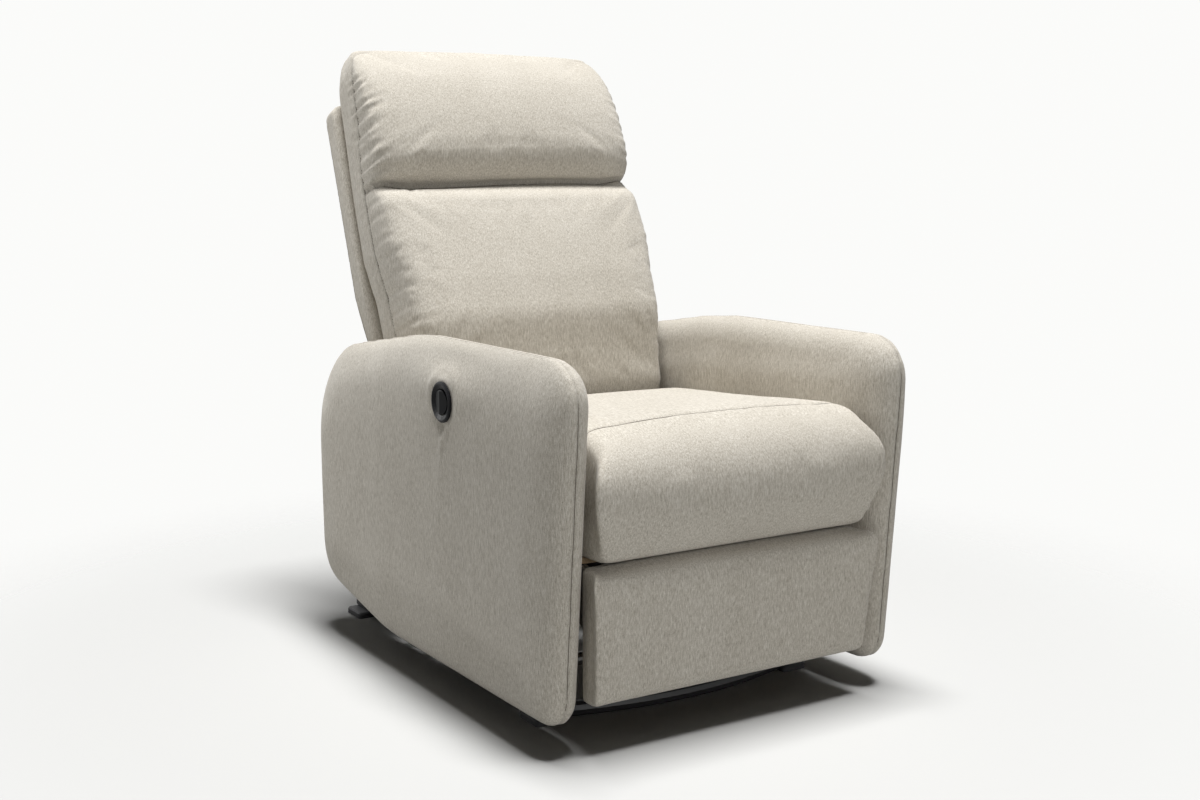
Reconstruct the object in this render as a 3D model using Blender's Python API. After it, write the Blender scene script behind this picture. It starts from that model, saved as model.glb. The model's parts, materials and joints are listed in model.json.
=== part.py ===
"""Power lift recliner: upholstered chair on a four-bar lift base, with a folding footrest linkage.

Metres, +Z up. The chair faces -Y and +X is the sitter's left. The origin is on the floor.
Every object hangs from the empty of its rigid body, and that empty sits on the body's joint axis.
"""

import math

import bmesh
import bpy
from mathutils import Matrix, Vector

# Clearances
GAP = 0.0003
RUN = 0.0004
LAYER_GAP = 0.0015
LOOSE = 0.0006

# Upholstered envelope
ARM_SPACE = 0.530
ARM_THICK = 0.080
ARM_UNDER = 0.0466
ARM_TOP = 0.5995
ARM_REAR_TOP = 0.530
ARM_FRONT = -0.494
ARM_REAR = 0.413
ARM_TOE_SETBACK = 0.046
ARM_CROWN = 0.003
SIDE_CLEAR = 0.0040
SEAT_TOP = 0.490
SEAT_REAR_DROP = 0.036
SEAT_FRONT = -0.493
SEAT_NOSE_LOW = 0.385
SEAT_REAR = 0.075
SEAT_UNDER = 0.2905
SEAT_LIP_SETBACK = 0.030
SEAT_CROWN = 0.010
SEAT_EDGE = 0.018
NOSE_FLARE = 0.016
NOSE_DEEP = 0.030
DECK_THICK = 0.0087
DECK_FRONT = -0.400
PAD_FRONT = -0.4735
PAD_THICK = 0.0458
PAD_TOP_GAP = 0.0065
PAD_UNDER = 0.0725
PAD_TOE_SETBACK = 0.0165
PAD_EDGE = 0.011
PAD_CROWN = 0.004
PAD_SIDE_CLEAR = 0.0040
BOARD_THICK = 0.012
BOARD_INSET = 0.009
BOARD_CORNER = 0.015

# Back, measured along and across its own lean from the recline axis
BACK_LEAN = math.radians(20.0)
HINGE = (0.175, SEAT_UNDER + 0.0445)
BACK_START = 0.050
BACK_CREASE = 0.494
BACK_TOP = 0.770
BACK_FRONT_LOW = 0.108
BACK_FRONT_CREASE = 0.118
BACK_BULGE = 0.043
BULGE_SKEW = 0.70
HEAD_BULGE = 0.020
HEAD_CROWN = 0.009
HEAD_TAPER = 0.008
HEAD_FLARE = 0.014
FLARE_START = 0.270
FLARE_RUN = 0.110
CREASE_DEPTH = 0.030
CREASE_WIDTH = 0.015
BACK_SEAM = 0.032
SIDE_SQUARE = 0.18
FRONT_SQUARE = 0.20
FACE_CROWN = 0.04
BACK_REAR = 0.018
BACK_BOARD = 0.015
BACK_BOARD_START = 0.025
BACK_BOARD_END = 0.690
BACK_BOARD_CORNER = 0.040
PANEL_THICK = 0.066
PANEL_START = 0.004
PANEL_TOP = 0.705
PANEL_CORNER = 0.022
PANEL_EDGE = 0.014
PANEL_FLARE = (0.220, 0.330)
BRACKET_REACH = 0.300
BRACKET_HUB = 0.015

# Flat steel of the mechanism
PLATE = 0.004
ARM_PACKER = 0.0103
ARM_RAIL = 0.028
RAIL_FROM_PIN = 0.022
LINK_HALF = 0.0105
LIFT_HALF = 0.014
PIN = 0.005
LIFT_PIN = 0.006
BOSS = 0.010
CROSS_TUBE = 0.010
TORQUE_TUBE = 0.008
LIFT_TUBE = 0.011
HINGE_TUBE = 0.009

# Lift four-bar: base pivots, and chair pivots while the chair is down
LIFT_FRONT_BASE = (-0.240, 0.075)
LIFT_FRONT_CHAIR = (0.160, 0.105)
LIFT_REAR_BASE = (-0.170, 0.085)
LIFT_REAR_CHAIR = (0.330, 0.1197)
LIFT_TURN = math.radians(56.0)
LIFT_REAR_SLACK = 0.0016

# Footrest linkage while folded, hung from the underside of the seat
FOOT_ARM = (-0.2541, SEAT_UNDER - 0.0449)
FOOT_KNEE = (-0.1868, SEAT_UNDER - 0.2183)
FOOT_TIP = (-0.3747, SEAT_UNDER - 0.0707)
FOOT_DRIVE = (-0.2332, SEAT_UNDER - 0.0225)
FOOT_TAIL = (-0.1665, SEAT_UNDER - 0.1991)
FOOT_STAY = (-0.2141, SEAT_UNDER - 0.1683)
FOOT_STAY_TIP = (-0.4020, SEAT_UNDER - 0.0205)

# Base on the floor
FOOT_HIGH = 0.0118
RAIL_WIDE = 0.030
RAIL_HIGH = 0.020
BOW_DROP = 0.007
RAIL_FRONT = -0.300
RAIL_REAR = 0.441
BASE_TUBE = 0.0125
BOW_FRONT = -0.322
BOW_END = -0.285
REAR_TUBE_Y = 0.400
FOOT_LONG = 0.060
FOOT_OUT = 0.0202
FOOT_CORNER = 0.008
FOOT_EASE = 0.0025
SOLE_EASE = 0.0015
RAIL_CORNER = 0.004
RAIL_CAP = 0.002
FOOT_STATIONS = (-0.275, 0.411)

# Frame tubes, drives and switch
TUBE_FRONT = (-0.130, SEAT_UNDER - 0.1155)
TUBE_REAR = (0.100, SEAT_UNDER - 0.1155)
DRIVE_X = 0.070
CHANNEL_WIDE = 0.030
CHANNEL_HIGH = 0.020
CHANNEL_WALL = 0.002
FOOT_CRANK = 0.050
FOOT_CRANK_REST = math.radians(-45.25)
BACK_CRANK = 0.114
BACK_CRANK_REST = math.radians(-70.0)
DRIVE_PIN = 0.004
DRIVE_SLACK = 0.0019
SLIDER_LONG = 0.040
LIFT_CRANK = 0.065
LIFT_CRANK_REST = math.radians(62.0)
LIFT_MOTOR = (0.375, 0.075)
LIFT_ROD = 0.009
LIFT_SLEEVE = 0.0145
LIFT_CAN = 0.0205
LIFT_CAN_LONG = 0.105
CASE_EASE = 0.0040
CASE_SEAM = 0.0015
DRIVE_CAN_LONG = 0.085
DRIVE_CAN_EASE = 0.0030
END_CAP = 0.022
END_CAP_STEP = 0.0020
BOX_WIDE = 0.075
BOX_HIGH = 0.042
BOX_LID = 0.012
BOX_SEAM = 0.0015
BOX_FROM_END = 0.052
FORK_DEEP = 0.040
SWITCH = (-0.139, 0.5005)
BEZEL = 0.033
BEZEL_MOUTH = 0.0209
BEZEL_BARREL = 0.0232
BEZEL_PROUD = 0.0045
BEZEL_DISH = 0.0026
BEZEL_DEEP = 0.014
POCKET_DEEP = 0.030
ROCKER = 0.0198
ROCKER_PROUD = 0.0010
ROCKER_SLOPE = 0.0036
ROCKER_BEVEL = 0.0024

FABRIC = (0.52, 0.485, 0.43)
BLACK = (0.018, 0.018, 0.019)
ZINC = (0.46, 0.46, 0.45)
PLYWOOD = (0.56, 0.42, 0.26)

ARC_STEPS = 7
bodies = {}


def clear_scene():
    """Start from an empty scene."""
    for item in list(bpy.data.objects):
        bpy.data.objects.remove(item, do_unlink=True)


def add_body(name, pivot, parent=None):
    """Put a body's empty on its joint axis, under the body that carries it."""
    empty = bpy.data.objects.new(name + "_axis", None)
    bpy.context.scene.collection.objects.link(empty)
    here = Vector(pivot)
    empty.location = here
    if parent:
        empty.parent = bodies[parent][0]
        empty.location = here - bodies[parent][1]
    bodies[name] = (empty, here)


def add_material(name, colour, rough, metal):
    """A Principled material in the part's own colour."""
    material = bpy.data.materials.new(name + "_finish")
    material.use_nodes = True
    shader = material.node_tree.nodes["Principled BSDF"]
    shader.inputs["Base Color"].default_value = (*colour, 1.0)
    shader.inputs["Roughness"].default_value = rough
    shader.inputs["Metallic"].default_value = metal
    return material


def add_part(name, bm, body, colour, rough=0.9, metal=0.0):
    """Turn a finished bmesh into a named object that hangs from its body's empty."""
    bmesh.ops.remove_doubles(bm, verts=bm.verts, dist=0.00001)
    bmesh.ops.recalc_face_normals(bm, faces=bm.faces)
    empty, pivot = bodies[body]
    bmesh.ops.translate(bm, verts=bm.verts, vec=-pivot)
    mesh = bpy.data.meshes.new(name)
    bm.to_mesh(mesh)
    bm.free()
    part = bpy.data.objects.new(name, mesh)
    bpy.context.scene.collection.objects.link(part)
    part.parent = empty
    mesh.materials.append(add_material(name, colour, rough, metal))
    return part


def steel(name, bm, body):
    """A zinc-plated steel part."""
    return add_part(name, bm, body, ZINC, 0.42, 1.0)


def black_steel(name, bm, body):
    """A part in black powder coat."""
    return add_part(name, bm, body, BLACK, 0.55, 0.3)


def plastic(name, bm, body, rough=0.5):
    """A black moulded part."""
    return add_part(name, bm, body, BLACK, rough, 0.0)


def fabric(name, bm, body):
    """A part covered in the chair's woven fabric."""
    part = add_part(name, bm, body, FABRIC, 0.95, 0.0)
    for face in part.data.polygons:
        face.use_smooth = True
    return part


def combine(part, tool_bm, operation):
    """Cut a tool out of a part, or weld it on, with an exact Boolean."""
    empty, pivot = part.parent, bodies[part.parent.name[:-5]][1]
    bmesh.ops.recalc_face_normals(tool_bm, faces=tool_bm.faces)
    bmesh.ops.translate(tool_bm, verts=tool_bm.verts, vec=-pivot)
    mesh = bpy.data.meshes.new("tool")
    tool_bm.to_mesh(mesh)
    tool_bm.free()
    tool = bpy.data.objects.new("tool", mesh)
    bpy.context.scene.collection.objects.link(tool)
    tool.parent = empty
    change = part.modifiers.new(operation.lower(), "BOOLEAN")
    change.operation = operation
    change.solver = "EXACT"
    change.object = tool
    bpy.context.view_layer.update()
    view = bpy.context.evaluated_depsgraph_get()
    result = bpy.data.meshes.new_from_object(part.evaluated_get(view))
    part.modifiers.clear()
    part.data = result
    bpy.data.objects.remove(tool, do_unlink=True)


def sides():
    """Both sides of the chair: the sitter's left is +X."""
    return (("left", 1.0), ("right", -1.0))


def layer(number):
    """Outer and inner X of a steel layer, counted inwards from the side plate."""
    outer = ARM_SPACE / 2 - ARM_PACKER - number * (PLATE + LAYER_GAP)
    return outer, outer - PLATE


def arc(centre, radius, start, end, steps=ARC_STEPS):
    """Points of an arc, both ends included."""
    points = []
    for i in range(steps + 1):
        angle = start + (end - start) * i / steps
        points.append((centre[0] + radius * math.cos(angle), centre[1] + radius * math.sin(angle)))
    return points


def heading(a, b):
    """Angle of the line from a to b."""
    return math.atan2(b[1] - a[1], b[0] - a[0])


def polar(centre, radius, angle):
    """The point at a distance and an angle from a centre."""
    return (centre[0] + radius * math.cos(angle), centre[1] + radius * math.sin(angle))


def strap(points, half):
    """Outline of a flat link that follows a short chain of pivots."""
    headings = [heading(points[i], points[i + 1]) for i in range(len(points) - 1)]
    turn = math.pi / 2
    outline = arc(points[0], half, headings[0] + turn, headings[0] + 3 * turn)
    outline += bend_side(points, headings, half, -turn)
    outline += arc(points[-1], half, headings[-1] - turn, headings[-1] + turn)
    outline += reversed(bend_side(points, headings, half, turn))
    return outline


def bend_side(points, headings, half, turn):
    """Corner points along one side of a bent link."""
    corners = []
    for i in range(1, len(headings)):
        middle = (headings[i - 1] + headings[i]) / 2 + turn
        reach = half / math.cos((headings[i] - headings[i - 1]) / 2)
        corners.append(polar(points[i], reach, middle))
    return corners


def hull(points):
    """Convex outline round a set of points."""
    ordered = sorted(set((round(p[0], 6), round(p[1], 6)) for p in points))

    def half_hull(run):
        chain = []
        for p in run:
            while len(chain) > 1 and cross(chain[-2], chain[-1], p) <= 1e-12:
                chain.pop()
            chain.append(p)
        return chain[:-1]

    return half_hull(ordered) + half_hull(ordered[::-1])


def cross(a, b, c):
    """Turn from the line a-b to the point c."""
    return (b[0] - a[0]) * (c[1] - a[1]) - (b[1] - a[1]) * (c[0] - a[0])


def rounded(corners, radii, inset=0.0, steps=ARC_STEPS, least=0.003):
    """Outline of a polygon with rounded corners, moved inwards by an inset."""
    count = len(corners)
    area = sum(cross((0, 0), corners[i], corners[(i + 1) % count]) for i in range(count))
    inward = math.copysign(math.pi / 2, area)
    moved = [offset_corner(corners, i, inset, inward) for i in range(count)]
    outline = []
    for i in range(count):
        radius = max(radii[i] - inset, least)
        outline += round_corner(moved[i - 1], moved[i], moved[(i + 1) % count], radius, steps)
    return outline


def offset_corner(corners, i, inset, inward):
    """Where two neighbouring sides meet once both have moved inwards."""
    before = heading(corners[i - 1], corners[i])
    after = heading(corners[i], corners[(i + 1) % len(corners)])
    bend = math.remainder(after - before, math.tau)
    reach = inset / math.cos(bend / 2)
    return polar(corners[i], reach, before + bend / 2 + inward)


def round_corner(a, b, c, radius, steps):
    """Arc that rounds the corner at b."""
    before = heading(a, b)
    bend = math.remainder(heading(b, c) - before, math.tau)
    side = math.copysign(math.pi / 2, bend)
    start = polar(b, -radius * abs(math.tan(bend / 2)), before)
    centre = polar(start, radius, before + side)
    return arc(centre, radius, before - side, before - side + bend, steps)


def prism(outline, low, high, place):
    """Extrude a flat outline between two levels; place(u, v, level) gives each point."""
    bm = bmesh.new()
    base = [bm.verts.new(place(u, v, low)) for u, v in outline]
    face = bm.faces.new(base)
    grown = bmesh.ops.extrude_face_region(bm, geom=[face])
    tops = [g for g in grown["geom"] if isinstance(g, bmesh.types.BMVert)]
    step = Vector(place(0, 0, high)) - Vector(place(0, 0, low))
    bmesh.ops.translate(bm, verts=tops, vec=step)
    bmesh.ops.recalc_face_normals(bm, faces=bm.faces)
    return bm


def stacked(corners, radii, stations, place, steps=4):
    """A moulded block: one outline, drawn in by its own inset at each level."""
    rings = []
    for level, inset in stations:
        outline = rounded(corners, radii, inset, steps)
        rings.append([place(u, v, level) for u, v in outline])
    return skin(rings)


def turned(centre, profile, steps, place):
    """A turned body: a circle of its own radius at each level."""
    rings = []
    for level, radius in profile:
        ring = arc(centre, radius, 0.0, math.tau * (1 - 1 / steps), steps - 1)
        rings.append([place(u, v, level) for u, v in ring])
    return skin(rings)


def along_x(u, v, level):
    """Outline in Y and Z, extruded along X."""
    return (level, u, v)


def along_y(u, v, level):
    """Outline in X and Z, extruded along Y."""
    return (u, level, v)


def along_z(u, v, level):
    """Outline in X and Y, extruded along Z."""
    return (u, v, level)


def back_place(x, along, across):
    """A point of the back: along its lean, and across it towards the rear."""
    y = HINGE[0] + along * math.sin(BACK_LEAN) + across * math.cos(BACK_LEAN)
    z = HINGE[1] + along * math.cos(BACK_LEAN) - across * math.sin(BACK_LEAN)
    return (x, y, z)


def back_yz(along, across):
    """Y and Z of a point of the back."""
    return back_place(0.0, along, across)[1:]


def rod(centre, radius, low, high, steps=12, place=along_x):
    """A round bar; by default it lies along X."""
    turn = math.tau * (1 - 1 / steps)
    return prism(arc(centre, radius, 0.0, turn, steps - 1), low, high, place)


def merge(parts):
    """Put several separate shapes into one bmesh."""
    whole = bmesh.new()
    for bm in parts:
        mesh = bpy.data.meshes.new("piece")
        bm.to_mesh(mesh)
        bm.free()
        whole.from_mesh(mesh)
        bpy.data.meshes.remove(mesh)
    return whole


def skin(rings):
    """Join a row of equal rings into a closed body with flat ends."""
    bm = bmesh.new()
    loops = [[bm.verts.new(p) for p in ring] for ring in rings]
    count = len(loops[0])
    for near, far in zip(loops, loops[1:]):
        for i in range(count):
            j = (i + 1) % count
            bm.faces.new((near[i], near[j], far[j], far[i]))
    bm.faces.new(loops[0][::-1])
    bm.faces.new(loops[-1])
    bmesh.ops.recalc_face_normals(bm, faces=bm.faces)
    return bm


def quarter(x, half, edge):
    """How far a soft side draws in near its end, as a quarter round."""
    past = max(0.0, abs(x) - (half - edge)) / edge
    return edge * (1.0 - math.sqrt(max(0.0, 1.0 - past * past)))


def side_stations(half, edge):
    """Positions across a soft piece, close together at its rounded ends."""
    ends = [half - edge * (1.0 - math.sin(math.radians(a))) for a in (0, 25, 48, 68, 84)]
    inner = [half * f for f in (0.0, 0.3, 0.58, 0.8)]
    positive = inner + [e for e in ends if e > inner[-1] + 0.004]
    return [-p for p in positive[:0:-1]] + positive


def soft_block(corners, radii, half, edge, crown):
    """A cushion lofted across the chair: rounded ends, crowned top and front, a nose that swells sideways."""
    floor = min(c[1] for c in corners)
    top = max(c[1] for c in corners)
    nose = min(c[0] for c in corners)
    rings = []
    for x in side_stations(half, edge):
        lift = crown * (1.0 - (x / half) ** 2)
        ring = []
        for y, z in rounded(corners, radii, quarter(x, half, edge)):
            share = max(0.0, (z - floor) / (top - floor))
            ahead = min(1.0, max(0.0, (nose + NOSE_DEEP - y) / NOSE_DEEP))
            wide = 1.0 + NOSE_FLARE / half * ahead ** 2
            ring.append((x * wide, y - 0.5 * lift * math.sin(math.pi * share), z + lift * share ** 4))
        rings.append(ring)
    return skin(rings)


def pocket_plane():
    """X of the outer face of the arm that holds the switch."""
    return -(ARM_SPACE / 2 + ARM_THICK)


def make_bodies():
    """The rigid bodies, each on its joint axis, in the order that carries them."""
    add_body("base", (0, 0, 0))
    add_body("lift_front", (0, *LIFT_FRONT_BASE), "base")
    add_body("lift_rear", (0, *LIFT_REAR_BASE), "base")
    add_body("lift_drive", (0, *LIFT_MOTOR), "base")
    add_body("lift_rod", (0, *lift_crank_pin()), "lift_drive")
    add_body("frame", (0, *LIFT_FRONT_CHAIR), "lift_front")
    add_body("foot_drive", (0, *FOOT_DRIVE), "frame")
    add_body("foot_arm", (0, *FOOT_ARM), "frame")
    add_body("foot_reach", (0, *FOOT_KNEE), "foot_arm")
    add_body("foot_stay", (0, *FOOT_STAY), "foot_arm")
    add_body("footrest", (0, *FOOT_TIP), "foot_reach")
    add_body("foot_slider", (DRIVE_X, *polar(FOOT_DRIVE, FOOT_CRANK, FOOT_CRANK_REST)), "frame")
    add_body("back", (0, *HINGE), "frame")
    add_body("back_slider", (-DRIVE_X, *polar(HINGE, BACK_CRANK, BACK_CRANK_REST)), "frame")
    add_body("switch", (pocket_plane(), *SWITCH), "frame")


def rail_span():
    """Inner and outer X of a base rail, beside the pivot ear."""
    inner = layer(6)[0] + GAP
    return inner, inner + RAIL_WIDE


def make_base():
    """Floor frame: two rails, a bowed front tube, a rear tube, pivot ears and feet."""
    inner, outer = rail_span()
    low = FOOT_HIGH + GAP
    high = low + RAIL_HIGH
    for side, sign in sides():
        corners = [(sign * inner, low), (sign * outer, low), (sign * outer, high), (sign * inner, high)]
        stations = [(RAIL_FRONT, RAIL_CAP), (RAIL_FRONT + RAIL_CAP, 0.0),
                    (RAIL_REAR - RAIL_CAP, 0.0), (RAIL_REAR, RAIL_CAP)]
        rail = stacked(corners, [RAIL_CORNER] * 4, stations, along_y, 3)
        black_steel("base_rail_" + side, rail, "base")
        make_ear(side, sign, low)
        for place, y in zip(("front", "rear"), FOOT_STATIONS):
            make_foot(place + "_" + side, sign, y)
    level = (low + high) / 2
    make_bow(inner, level - BOW_DROP)
    tube = rod((REAR_TUBE_Y, level), BASE_TUBE, -inner + GAP, inner - GAP)
    black_steel("base_rear_tube", tube, "base")


def make_ear(side, sign, low):
    """Pivot plate on the inner face of a rail, with the rear lift link's pin."""
    outer, inner = layer(6)
    front, rear = LIFT_FRONT_BASE, LIFT_REAR_BASE
    top = LIFT_TUBE + 0.008
    feet = [(front[0] - top, low), (rear[0] + top, low)]
    outline = hull(arc(front, top, 0, math.pi) + arc(rear, top, 0, math.pi) + feet)
    ear = black_steel("base_ear_" + side, prism(outline, sign * inner, sign * outer, along_x), "base")
    combine(ear, rod(front, LIFT_TUBE + RUN, sign * (inner - 0.01), sign * (outer + 0.01)), "DIFFERENCE")
    pin_end = layer(5)[0] + LAYER_GAP / 3
    combine(ear, rod(rear, LIFT_PIN, sign * (inner + 0.001), sign * pin_end), "UNION")


def make_foot(name, sign, y):
    """Moulded foot under a rail, reaching out under the arm."""
    inner, outer = rail_span()
    x0, x1 = sign * inner, sign * (outer + FOOT_OUT)
    y0, y1 = y - FOOT_LONG / 2, y + FOOT_LONG / 2
    corners = [(x0, y0), (x1, y0), (x1, y1), (x0, y1)]
    stations = [(0.0, SOLE_EASE), (SOLE_EASE, 0.0), (FOOT_HIGH - FOOT_EASE, 0.0), (FOOT_HIGH, FOOT_EASE)]
    foot = stacked(corners, [FOOT_CORNER] * 4, stations, along_z)
    plastic("base_foot_" + name, foot, "base", 0.7)


def make_bow(inner, level):
    """Front tube, bowed forwards between the rails."""
    half = inner - GAP
    sag = BOW_END - BOW_FRONT
    radius = half * half / (2 * sag) + sag / 2
    sweep = math.asin(half / radius)
    rings = []
    for i in range(13):
        angle = sweep * (2 * i / 12 - 1)
        centre = Vector((radius * math.sin(angle), BOW_FRONT + radius * (1 - math.cos(angle)), level))
        out = Vector((-math.sin(angle), math.cos(angle), 0))
        if i in (0, 12):
            centre.x = math.copysign(half, angle)
            out = Vector((0, 1, 0))
        circle = arc((0, 0), BASE_TUBE, 0, math.tau * 0.9, 9)
        rings.append([centre + out * c + Vector((0, 0, s)) for c, s in circle])
    black_steel("base_front_tube", skin(rings), "base")


def lift_crank_pin():
    """Where the lift rod pushes its crank while the chair is down."""
    return polar(LIFT_FRONT_BASE, LIFT_CRANK, LIFT_CRANK_REST)


def lift_reach(turn):
    """Length and angle of the line from the lift motor to the crank pin at a turn of the lift."""
    pin = polar(LIFT_FRONT_BASE, LIFT_CRANK, LIFT_CRANK_REST + turn)
    return math.dist(LIFT_MOTOR, pin), heading(LIFT_MOTOR, pin)


def lift_play():
    """Centre and radius, in the crank, of the play that its straight-line drive needs."""
    long0, angle0 = lift_reach(0.0)
    long1, angle1 = lift_reach(LIFT_TURN)
    spots = []
    for i in range(13):
        share = i / 12
        tip = polar(LIFT_MOTOR, long0 + share * (long1 - long0), angle0 + share * (angle1 - angle0))
        away = heading(LIFT_FRONT_BASE, tip) - share * LIFT_TURN
        spots.append(polar(LIFT_FRONT_BASE, math.dist(LIFT_FRONT_BASE, tip), away))
    centre = ((min(p[0] for p in spots) + max(p[0] for p in spots)) / 2,
              (min(p[1] for p in spots) + max(p[1] for p in spots)) / 2)
    return centre, max(math.dist(centre, p) for p in spots)


def make_lift_links():
    """Front and rear lift links, and the torque tube with the crank that turns the front pair."""
    outer, inner = layer(4)
    end = inner - GAP
    tube = steel("lift_torque_tube", rod(LIFT_FRONT_BASE, LIFT_TUBE, -end, end, 14), "lift_front")
    for side, sign in sides():
        outline = strap([LIFT_FRONT_BASE, LIFT_FRONT_CHAIR], LIFT_HALF)
        link = prism(outline, sign * inner, sign * outer, along_x)
        front = steel("lift_front_link_" + side, link, "lift_front")
        hole = rod(LIFT_FRONT_CHAIR, LIFT_PIN + RUN, sign * (inner - 0.01), sign * (outer + 0.01))
        combine(front, hole, "DIFFERENCE")
        make_rear_link(side, sign)
    centre, play = lift_play()
    hub = LIFT_TUBE + 0.007
    rim = DRIVE_PIN + play + 0.009
    outline = hull(arc(LIFT_FRONT_BASE, hub, 0, math.tau, 20) + arc(centre, rim, 0, math.tau, 20))
    combine(tube, prism(outline, -0.003, 0.003, along_x), "UNION")
    combine(tube, rod(centre, DRIVE_PIN + play + LOOSE, -0.01, 0.01, 16), "DIFFERENCE")


def make_rear_link(side, sign):
    """Rear lift link; its upper hole has the play of the loop's open pivot."""
    outer, inner = layer(5)
    outline = strap([LIFT_REAR_BASE, LIFT_REAR_CHAIR], LIFT_HALF)
    link = steel("lift_rear_link_" + side, prism(outline, sign * inner, sign * outer, along_x), "lift_rear")
    low, high = sign * (inner - 0.01), sign * (outer + 0.01)
    base_hole = rod(LIFT_REAR_BASE, LIFT_PIN + RUN, low, high)
    chair_hole = rod(LIFT_REAR_CHAIR, LIFT_PIN + LIFT_REAR_SLACK + RUN, low, high)
    combine(link, merge([base_hole, chair_hole]), "DIFFERENCE")


def drive_point(along, across):
    """A point beside the lift rod's line, from the motor's pivot."""
    angle = lift_reach(0.0)[1]
    spot = polar(LIFT_MOTOR, along, angle)
    return polar(spot, across, angle - math.pi / 2)


def drive_place(u, v, level):
    """Round section across the lift rod's line, at a distance along it."""
    y, z = drive_point(level, v)
    return (u, y, z)


def make_lift_drive():
    """Lift actuator: lugs on the rear tube, gear case, motor, sleeve and rod."""
    tall = LIFT_MOTOR[1] + 0.017
    seat = FOOT_HIGH + GAP + RAIL_HIGH / 2 + BASE_TUBE + GAP
    half = 0.0245
    wall = 0.0042
    section = [(-half, seat), (half, seat), (half, tall), (half - wall, tall), (half - wall, seat + wall),
               (wall - half, seat + wall), (wall - half, tall), (-half, tall)]
    bent = prism(section, LIFT_MOTOR[0] - 0.02, REAR_TUBE_Y + 0.02, along_y)
    lug = black_steel("lift_motor_lug", bent, "base")
    combine(lug, rod(LIFT_MOTOR, PIN + RUN, -0.04, 0.04), "DIFFERENCE")
    inside = half - wall - LOOSE
    case = [drive_point(-0.024, -0.026), drive_point(0.050, -0.026),
            drive_point(0.050, 0.072), drive_point(-0.024, 0.072)]
    seam = CASE_SEAM
    stations = [(-inside, CASE_EASE), (CASE_EASE - inside, 0.0), (-seam, 0.0), (-seam, seam),
                (seam, seam), (seam, 0.0), (inside - CASE_EASE, 0.0), (inside, CASE_EASE)]
    shell = stacked(case, [0.016] * 4, stations, along_x)
    gear = plastic("lift_gear_case", shell, "lift_drive")
    combine(gear, rod(LIFT_MOTOR, PIN, -half, half), "UNION")
    front = 0.050 + GAP
    end = front + LIFT_CAN_LONG
    cap = end - END_CAP
    ring = LIFT_CAN - END_CAP_STEP
    profile = [(front, LIFT_CAN), (cap, LIFT_CAN), (cap, ring), (cap + END_CAP_STEP, ring),
               (cap + END_CAP_STEP, LIFT_CAN), (end - CASE_EASE, LIFT_CAN), (end, LIFT_CAN - CASE_EASE)]
    plastic("lift_motor", turned((0, 0.046), profile, 18, drive_place), "lift_drive", 0.4)
    sleeve = rod((0, 0), LIFT_SLEEVE, front, front + 0.300, 14, drive_place)
    part = add_part("lift_sleeve", sleeve, "lift_drive", (0.6, 0.6, 0.61), 0.35, 1.0)
    combine(part, rod((0, 0), LIFT_ROD + RUN, front + 0.02, front + 0.31, 14, drive_place), "DIFFERENCE")
    make_lift_rod(front)


def make_lift_rod(front):
    """Push rod with a forked head whose cross pin works in the crank's window."""
    reach = lift_reach(0.0)[0]
    root = reach - FORK_DEEP
    bar = rod((0, 0), LIFT_ROD, front + 0.13, root - 0.006, 12, drive_place)
    part = steel("lift_rod", bar, "lift_rod")
    tip = reach + 0.010
    head = [drive_point(root - 0.012, -0.0115), drive_point(tip, -0.0115),
            drive_point(tip, 0.0115), drive_point(root - 0.012, 0.0115)]
    combine(part, prism(head, -0.0095, 0.0095, along_x), "UNION")
    throat = [drive_point(root, -0.02), drive_point(tip + 0.01, -0.02),
              drive_point(tip + 0.01, 0.02), drive_point(root, 0.02)]
    combine(part, prism(throat, -0.0042, 0.0042, along_x), "DIFFERENCE")
    combine(part, rod(lift_crank_pin(), DRIVE_PIN, -0.0105, 0.0105), "UNION")


def make_side_plates():
    """Chair side plates with the pins and spacer bosses of every pivot they carry."""
    outer, inner = layer(0)
    top = SEAT_UNDER - GAP - DECK_THICK - GAP
    for side, sign in sides():
        outline = rounded(plate_corners(top), [0.012] * len(plate_corners(top)), steps=4)
        plate = steel("side_plate_" + side, prism(outline, sign * inner, sign * outer, along_x), "frame")
        root = inner + 0.001
        short = LAYER_GAP / 3
        shafts = [
            rod(FOOT_ARM, PIN, sign * (layer(1)[1] - short), sign * root),
            rod(FOOT_DRIVE, PIN, sign * (layer(3)[1] + GAP), sign * root),
            rod(HINGE, LIFT_PIN, sign * (layer(1)[1] + GAP), sign * root),
            stepped_pin(LIFT_FRONT_CHAIR, 4, sign, root),
            stepped_pin(LIFT_REAR_CHAIR, 5, sign, root),
        ]
        combine(plate, merge(shafts), "UNION")


def plate_corners(top):
    """Corner points of a side plate, from its front top round the underside to the hinge."""
    neck = 0.019
    front, rear = LIFT_FRONT_CHAIR, LIFT_REAR_CHAIR
    return [
        (FOOT_ARM[0] - 0.030, top),
        (FOOT_ARM[0] - 0.030, FOOT_ARM[1] - 0.014),
        (TUBE_FRONT[0] - 0.024, TUBE_FRONT[1] - 0.022),
        (TUBE_REAR[0] - 0.080, TUBE_FRONT[1] - 0.026),
        (front[0] - 0.020, front[1] - 0.020),
        (front[0] + 0.030, front[1] - 0.020),
        (rear[0] + 0.020, rear[1] - 0.022),
        (rear[0] + 0.020, rear[1] + 0.022),
        (HINGE[0] + neck + 0.040, TUBE_REAR[1] + 0.012),
        (HINGE[0] + neck, HINGE[1] - 0.095),
        (HINGE[0] + neck, HINGE[1] + neck),
        (HINGE[0] - neck, HINGE[1] + neck),
        (HINGE[0] - 0.044, top),
    ]


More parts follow.
